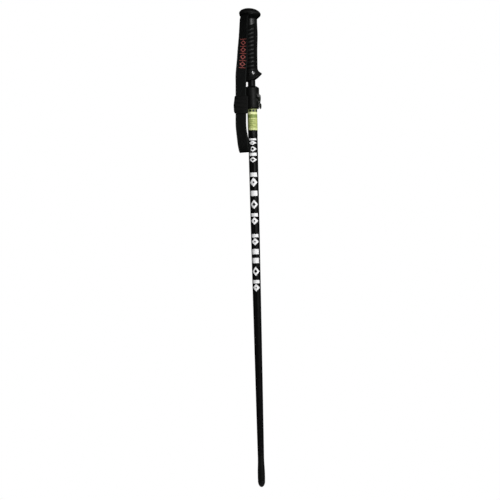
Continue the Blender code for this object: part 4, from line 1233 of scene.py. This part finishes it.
def make_collar():
    """Clamp body: cone, barrel, ears for the lever, pockets for its arms, split and both bores."""
    profile = [(0.0, COLLAR_HIGH), (8.5 * MM, COLLAR_HIGH), (13.4 * MM, 762.3 * MM)]
    profile += [(COLLAR_RADIUS, 761.0 * MM), *edge_from(COLLAR_RADIUS, COLLAR_LOW, [(0.0, 1.2), (1.0, 0.0)])]
    profile.append((0.0, COLLAR_LOW))
    collar = turned("clamp_collar", filleted(profile, 1.0 * MM, steps=5), 72)
    combine(collar, rod("ears", 3.4 * MM, -EAR_HALF_WIDTH, EAR_HALF_WIDTH, 46, PIVOT), "UNION")
    far, ear = 30, EAR_HALF_WIDTH / MM
    pockets = [((8.05, -far, 735.5), (far, -ear, 752.5)), ((8.05, ear, 735.5), (far, far, 752.5))]
    behind_lever = ((13.2, -far, 715.0), (far, far, 742.0))
    split = ((5.0, -0.8, 731.0), (far, 0.8, 780.0))
    for corners in (*pockets, behind_lever, split):
        cut(collar, block("cut", *in_mm(corners)))
    shoulder = node_ends("guide_bush")[1] + GAP
    cut(collar, rod("bore", SHAFT_RADIUS + GAP, COLLAR_LOW - 5 * MM, shoulder, 71))
    cut(collar, rod("bore", TUBE_RADIUS + GAP + 0.05 * MM, shoulder - 5 * MM, COLLAR_HIGH + 5 * MM, 71))
    cut(collar, rod("bolt_hole", BOLT_RADIUS + GAP, -far * MM, far * MM, 29, PIVOT))
    round_edges(collar, 0.35 * MM, angle=35.0)
    finish(collar, "collar", "clamp_plastic", "clamp_plastic", "lock_collar")


def lever_outline():
    """Side view of the lever in (x, z): cam round the pivot, waist, finger lip and inner side."""
    small, large = 3.2 * MM, 4.9 * MM
    cam = []
    for angle in range(180, -1, -10):
        x, z, _ = spun(small + (large - small) * smooth((70 - angle) / 70), radians(angle), 0.0)
        cam.append((PIVOT.x + x, PIVOT.z + z))
    side = [
        (16.9, 743.0), (16.9, 740.2), (16.2, 736.6), (15.7, 733.6), (16.3, 731.6), (17.5, 730.4),
        (17.8, 728.2), (17.8, 725.2), (17.3, 723.1), (16.2, 722.4), (15.0, 722.8), (13.5, 726.0),
        (13.5, 738.0), (10.9, 741.0), (9.2, 743.2)
    ]
    return cam + filleted(in_mm(side), 1.2 * MM)


def make_lever():
    """Fork round the ears with a plate and a finger lip below; fine ridges help the finger."""
    inside = EAR_HALF_WIDTH + GAP
    reach = inside + ARM_THICKNESS
    lever = plate("clamp_lever", lever_outline(), -reach, reach)
    round_edges(lever, 0.45 * MM, angle=35.0)
    cut(lever, block("fork", (0.0, -inside, 737.6 * MM), (40 * MM, inside, 780 * MM)))
    cut(lever, rod("hole", BOLT_RADIUS + GAP, -30 * MM, 30 * MM, 31, PIVOT))
    for height in (727.6, 726.0, 724.4):
        place = Vector((17.95 * MM, 0.0, height * MM))
        cut(lever, rod("groove", 0.42 * MM, -reach + 1.6 * MM, reach - 1.6 * MM, 12, place))
    shade(lever)
    finish(lever, "lever", "clamp_plastic", "lever_plastic", "lock_lever")


def finish_steel(item, node, offset):
    """Lay a small part of the clamp along its pivot, that far from the middle."""
    lay_across(item, PIVOT + Vector((0.0, offset, 0.0)))
    finish(item, "collar", "dark_steel", "dark_steel", node)


def make_fasteners():
    """Socket bolt, nut and the two washers of the clamp."""
    low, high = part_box("clamp_bolt")
    head = -low.y - 2.0 * MM
    profile = [(0.0, high.y), *edge_from(BOLT_RADIUS, high.y, [(0.3, 0.0), (0.0, -0.3)])]
    profile += [(BOLT_RADIUS, -head), (2.8 * MM, -head)]
    profile += edge_from(2.8 * MM, low.y, [(0.0, 0.5), (0.3, 0.12), (0.6, 0.0), (1.3, 0.0), (2.8, 0.0)])
    bolt = turned("socket_bolt", profile, 48)
    cut(bolt, rod("socket", 1.35 * MM, low.y - 1 * MM, low.y + 1.3 * MM, 6))
    shade(bolt, 30)
    finish_steel(bolt, "clamp_bolt", 0.0)
    for name, node in (("washer_front", "head_washer"), ("washer_back", "nut_washer")):
        low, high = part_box(node)
        half = (high.y - low.y) / 2
        washer = pipe(name, (high.z - low.z) / 2, BOLT_RADIUS + GAP, -half, half, 0.1 * MM, 48)
        finish_steel(washer, node, (low.y + high.y) / 2)
    low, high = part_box("clamp_nut")
    tall = high.y - low.y
    half = tall / 2
    nut = rod("hex_nut", 3.2 * MM, -half, half, 6)
    crown = [(0.0, half), (2.75 * MM, half), (3.3 * MM, half - 0.4 * MM), (3.3 * MM, -tall), (0.0, -tall)]
    combine(nut, turned("crown", crown, 48), "INTERSECT")
    cut(nut, rod("bore", BOLT_RADIUS + GAP, -tall, tall, 30))
    finish_steel(nut, "clamp_nut", (low.y + high.y) / 2)


# Tip


def make_ferrule():
    """Flared ferrule with two shallow rings near the shaft and a bead above the nose."""
    low, high = node_ends("tip_ferrule")
    spigot = SHAFT_TIP_RADIUS - SHAFT_WALL - GAP
    seat = SHAFT_BOTTOM - GAP
    wide = node_radius("tip_ferrule")
    stud_top = node_ends("tip_stud")[1] + GAP
    profile = [(0.0, high), *edge_from(spigot, high, [(0.6, 0.0), (0.0, -0.6)]), (spigot, seat)]
    profile += edge_from(SHAFT_TIP_RADIUS, seat, [(0.1, 0.0), (0.0, -0.2)])
    flare_high, flare_low = seat - 8.0 * MM, 26.0 * MM
    groove_depth, groove_width = 0.18 * MM, 0.5 * MM
    for height in between(seat - 0.3 * MM, flare_low - 0.3 * MM, 30)[1:]:
        share = (flare_high - height) / (flare_high - flare_low)
        radius = SHAFT_TIP_RADIUS + (wide - SHAFT_TIP_RADIUS) * smooth(share)
        for groove in (seat - 3.2 * MM, seat - 6.0 * MM):
            radius -= groove_depth * bell(height, groove, groove_width)
        profile.append((min(radius, wide), height))
    profile += edge_from(wide, low, [(0.0, 10.0), (0.0, 5.0), (0.0, 1.9), (0.28, 1.5), (0.28, 1.0)])
    profile += edge_from(wide, low, [(0.02, 0.7), (0.1, 0.2), (0.4, 0.0)])
    profile += [(STUD_HOLE_RADIUS, low), (STUD_HOLE_RADIUS, stud_top), (0.0, stud_top)]
    finish(turned("flared_ferrule", profile), "shaft", "ferrule_plastic", "ferrule_plastic", "tip_ferrule")


def make_nose():
    """Blunt nose: an oval dome down to a small flat, with a blind hole for the stud."""
    low, high = node_ends("tip_nose")
    wide = node_radius("tip_nose")
    blind = node_ends("tip_stud")[0] - GAP
    flat_angle = asin(1.6 * MM / wide)
    depth = (high - 0.8 * MM) / cos(flat_angle)
    profile = [(0.0, blind), (STUD_HOLE_RADIUS, blind), (STUD_HOLE_RADIUS, high)]
    profile += edge_from(wide, high, [(0.4, 0.0), (0.1, -0.2)])
    for angle in between(radians(90), flat_angle, 28):
        profile.append((wide * sin(angle), depth * (cos(flat_angle) - cos(angle))))
    profile.append((0.0, low))
    finish(turned("blunt_nose", profile), "shaft", "nose_rubber", "nose_rubber", "tip_nose")


def dress_kept_nodes():
    """Hidden pieces keep their CAD shape and get finished materials."""
    looks = {"plain_steel": ("strap_pin", "tip_stud"), "inner_plastic": ("tube_end_plug", "guide_bush")}
    for look, nodes in looks.items():
        for node in nodes:
            dress(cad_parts[node], look)
            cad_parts[node].data.shade_smooth()


# Stage, lights and camera


def make_floor():
    """Pale round floor that fades out at its rim, just below the tip of the fully drawn-out stick."""
    radius, level, glow = 2.2, -205.0 * MM, 0.83
    fade_start, fade_end = 0.08, 0.8
    work = bmesh.new()
    bmesh.ops.create_circle(work, cap_ends=True, segments=SEGMENTS, radius=radius)
    floor = add_mesh("floor", work)
    floor.location.z = level
    look = Surface("floor", 0.0)
    look.colour(0.85)
    look.roughness(0.9)
    look.set("Emission Color", 1.0)
    look.set("Emission Strength", look.times(look.node("LightPath", output="Is Camera Ray"), glow))
    from_middle = look.node("VectorMath", (look.place,), "Value", operation="LENGTH")
    fade = (from_middle, fade_start, fade_end, 1.0, 0.0)
    look.set("Alpha", look.node("MapRange", fade, interpolation_type="SMOOTHSTEP"))
    dress(floor, "floor")


def make_world():
    """White surroundings for the camera, a softer grey for reflections and fill."""
    world = bpy.data.worlds.new("studio")
    bpy.context.scene.world = world
    world.use_nodes = True
    nodes = Nodes(world.node_tree)
    grey = nodes.tree.nodes["Background"]
    nodes.feed(grey.inputs["Color"], 1.0)
    nodes.feed(grey.inputs["Strength"], 0.07)
    white = nodes.node("Background", (1.0, 1.0))
    seen = nodes.node("LightPath", output="Is Camera Ray")
    mixed = nodes.node("MixShader", (seen, grey.outputs[0], white))
    nodes.feed(nodes.tree.nodes["World Output"].inputs["Surface"], mixed)


def make_softbox(name, azimuth_deg, distance, height, size, power):
    """Rectangular light; azimuth 0 is at the camera's side and grows to the right."""
    azimuth = radians(azimuth_deg)
    light = bpy.data.lights.new(name, "AREA")
    light.shape = "RECTANGLE"
    light.size, light.size_y = size
    light.energy = power
    item = add_object(name, light)
    item.location = (distance * sin(azimuth), -distance * cos(azimuth), height)
    aim = Vector((0.0, 0.0, 0.55))
    item.rotation_euler = (aim - item.location).to_track_quat("-Z", "Y").to_euler()


def make_camera():
    """Level view along +Y with a long lens, rolled by the lean of the stick in the frame."""
    distance = 2.4
    frame_width = 955.3 * MM
    roll = radians(1.43)
    look_at = Vector((-11.0 * MM, 0.0, 452.9 * MM))
    camera = bpy.data.cameras.new("camera")
    camera.lens = camera.sensor_width * distance / frame_width
    camera.clip_end = 50.0
    item = add_object("camera", camera)
    right = Vector((cos(roll), 0.0, -sin(roll)))
    up = Vector((sin(roll), 0.0, cos(roll)))
    back = Vector((0.0, -1.0, 0.0))
    turn = Matrix((right, up, back)).transposed().to_4x4()
    item.matrix_world = Matrix.Translation(look_at + back * distance) @ turn
    bpy.context.scene.camera = item


make_camera()
make_world()
make_floor()
make_softbox("key", 21.0, 1.7, 1.0, (0.22, 0.9), 24.0)
make_softbox("side", 50.0, 1.7, 0.7, (0.9, 1.1), 9.0)
make_softbox("left_fill", -50.0, 2.2, 0.6, (0.9, 1.2), 2.5)
make_softbox("back", 170.0, 1.8, 0.7, (0.8, 1.0), 2.0)
bpy.context.scene.view_settings.view_transform = "Standard"

make_pommel()
make_grip_body()
make_grip_pad()
make_strap()
make_embroidery()
make_seam()
make_slider()
make_tube()
make_shaft()
make_shaft_print()
make_label()
make_label_print()
make_shaft_band()
make_collar()
make_lever()
make_fasteners()
make_ferrule()
make_nose()
dress_kept_nodes()
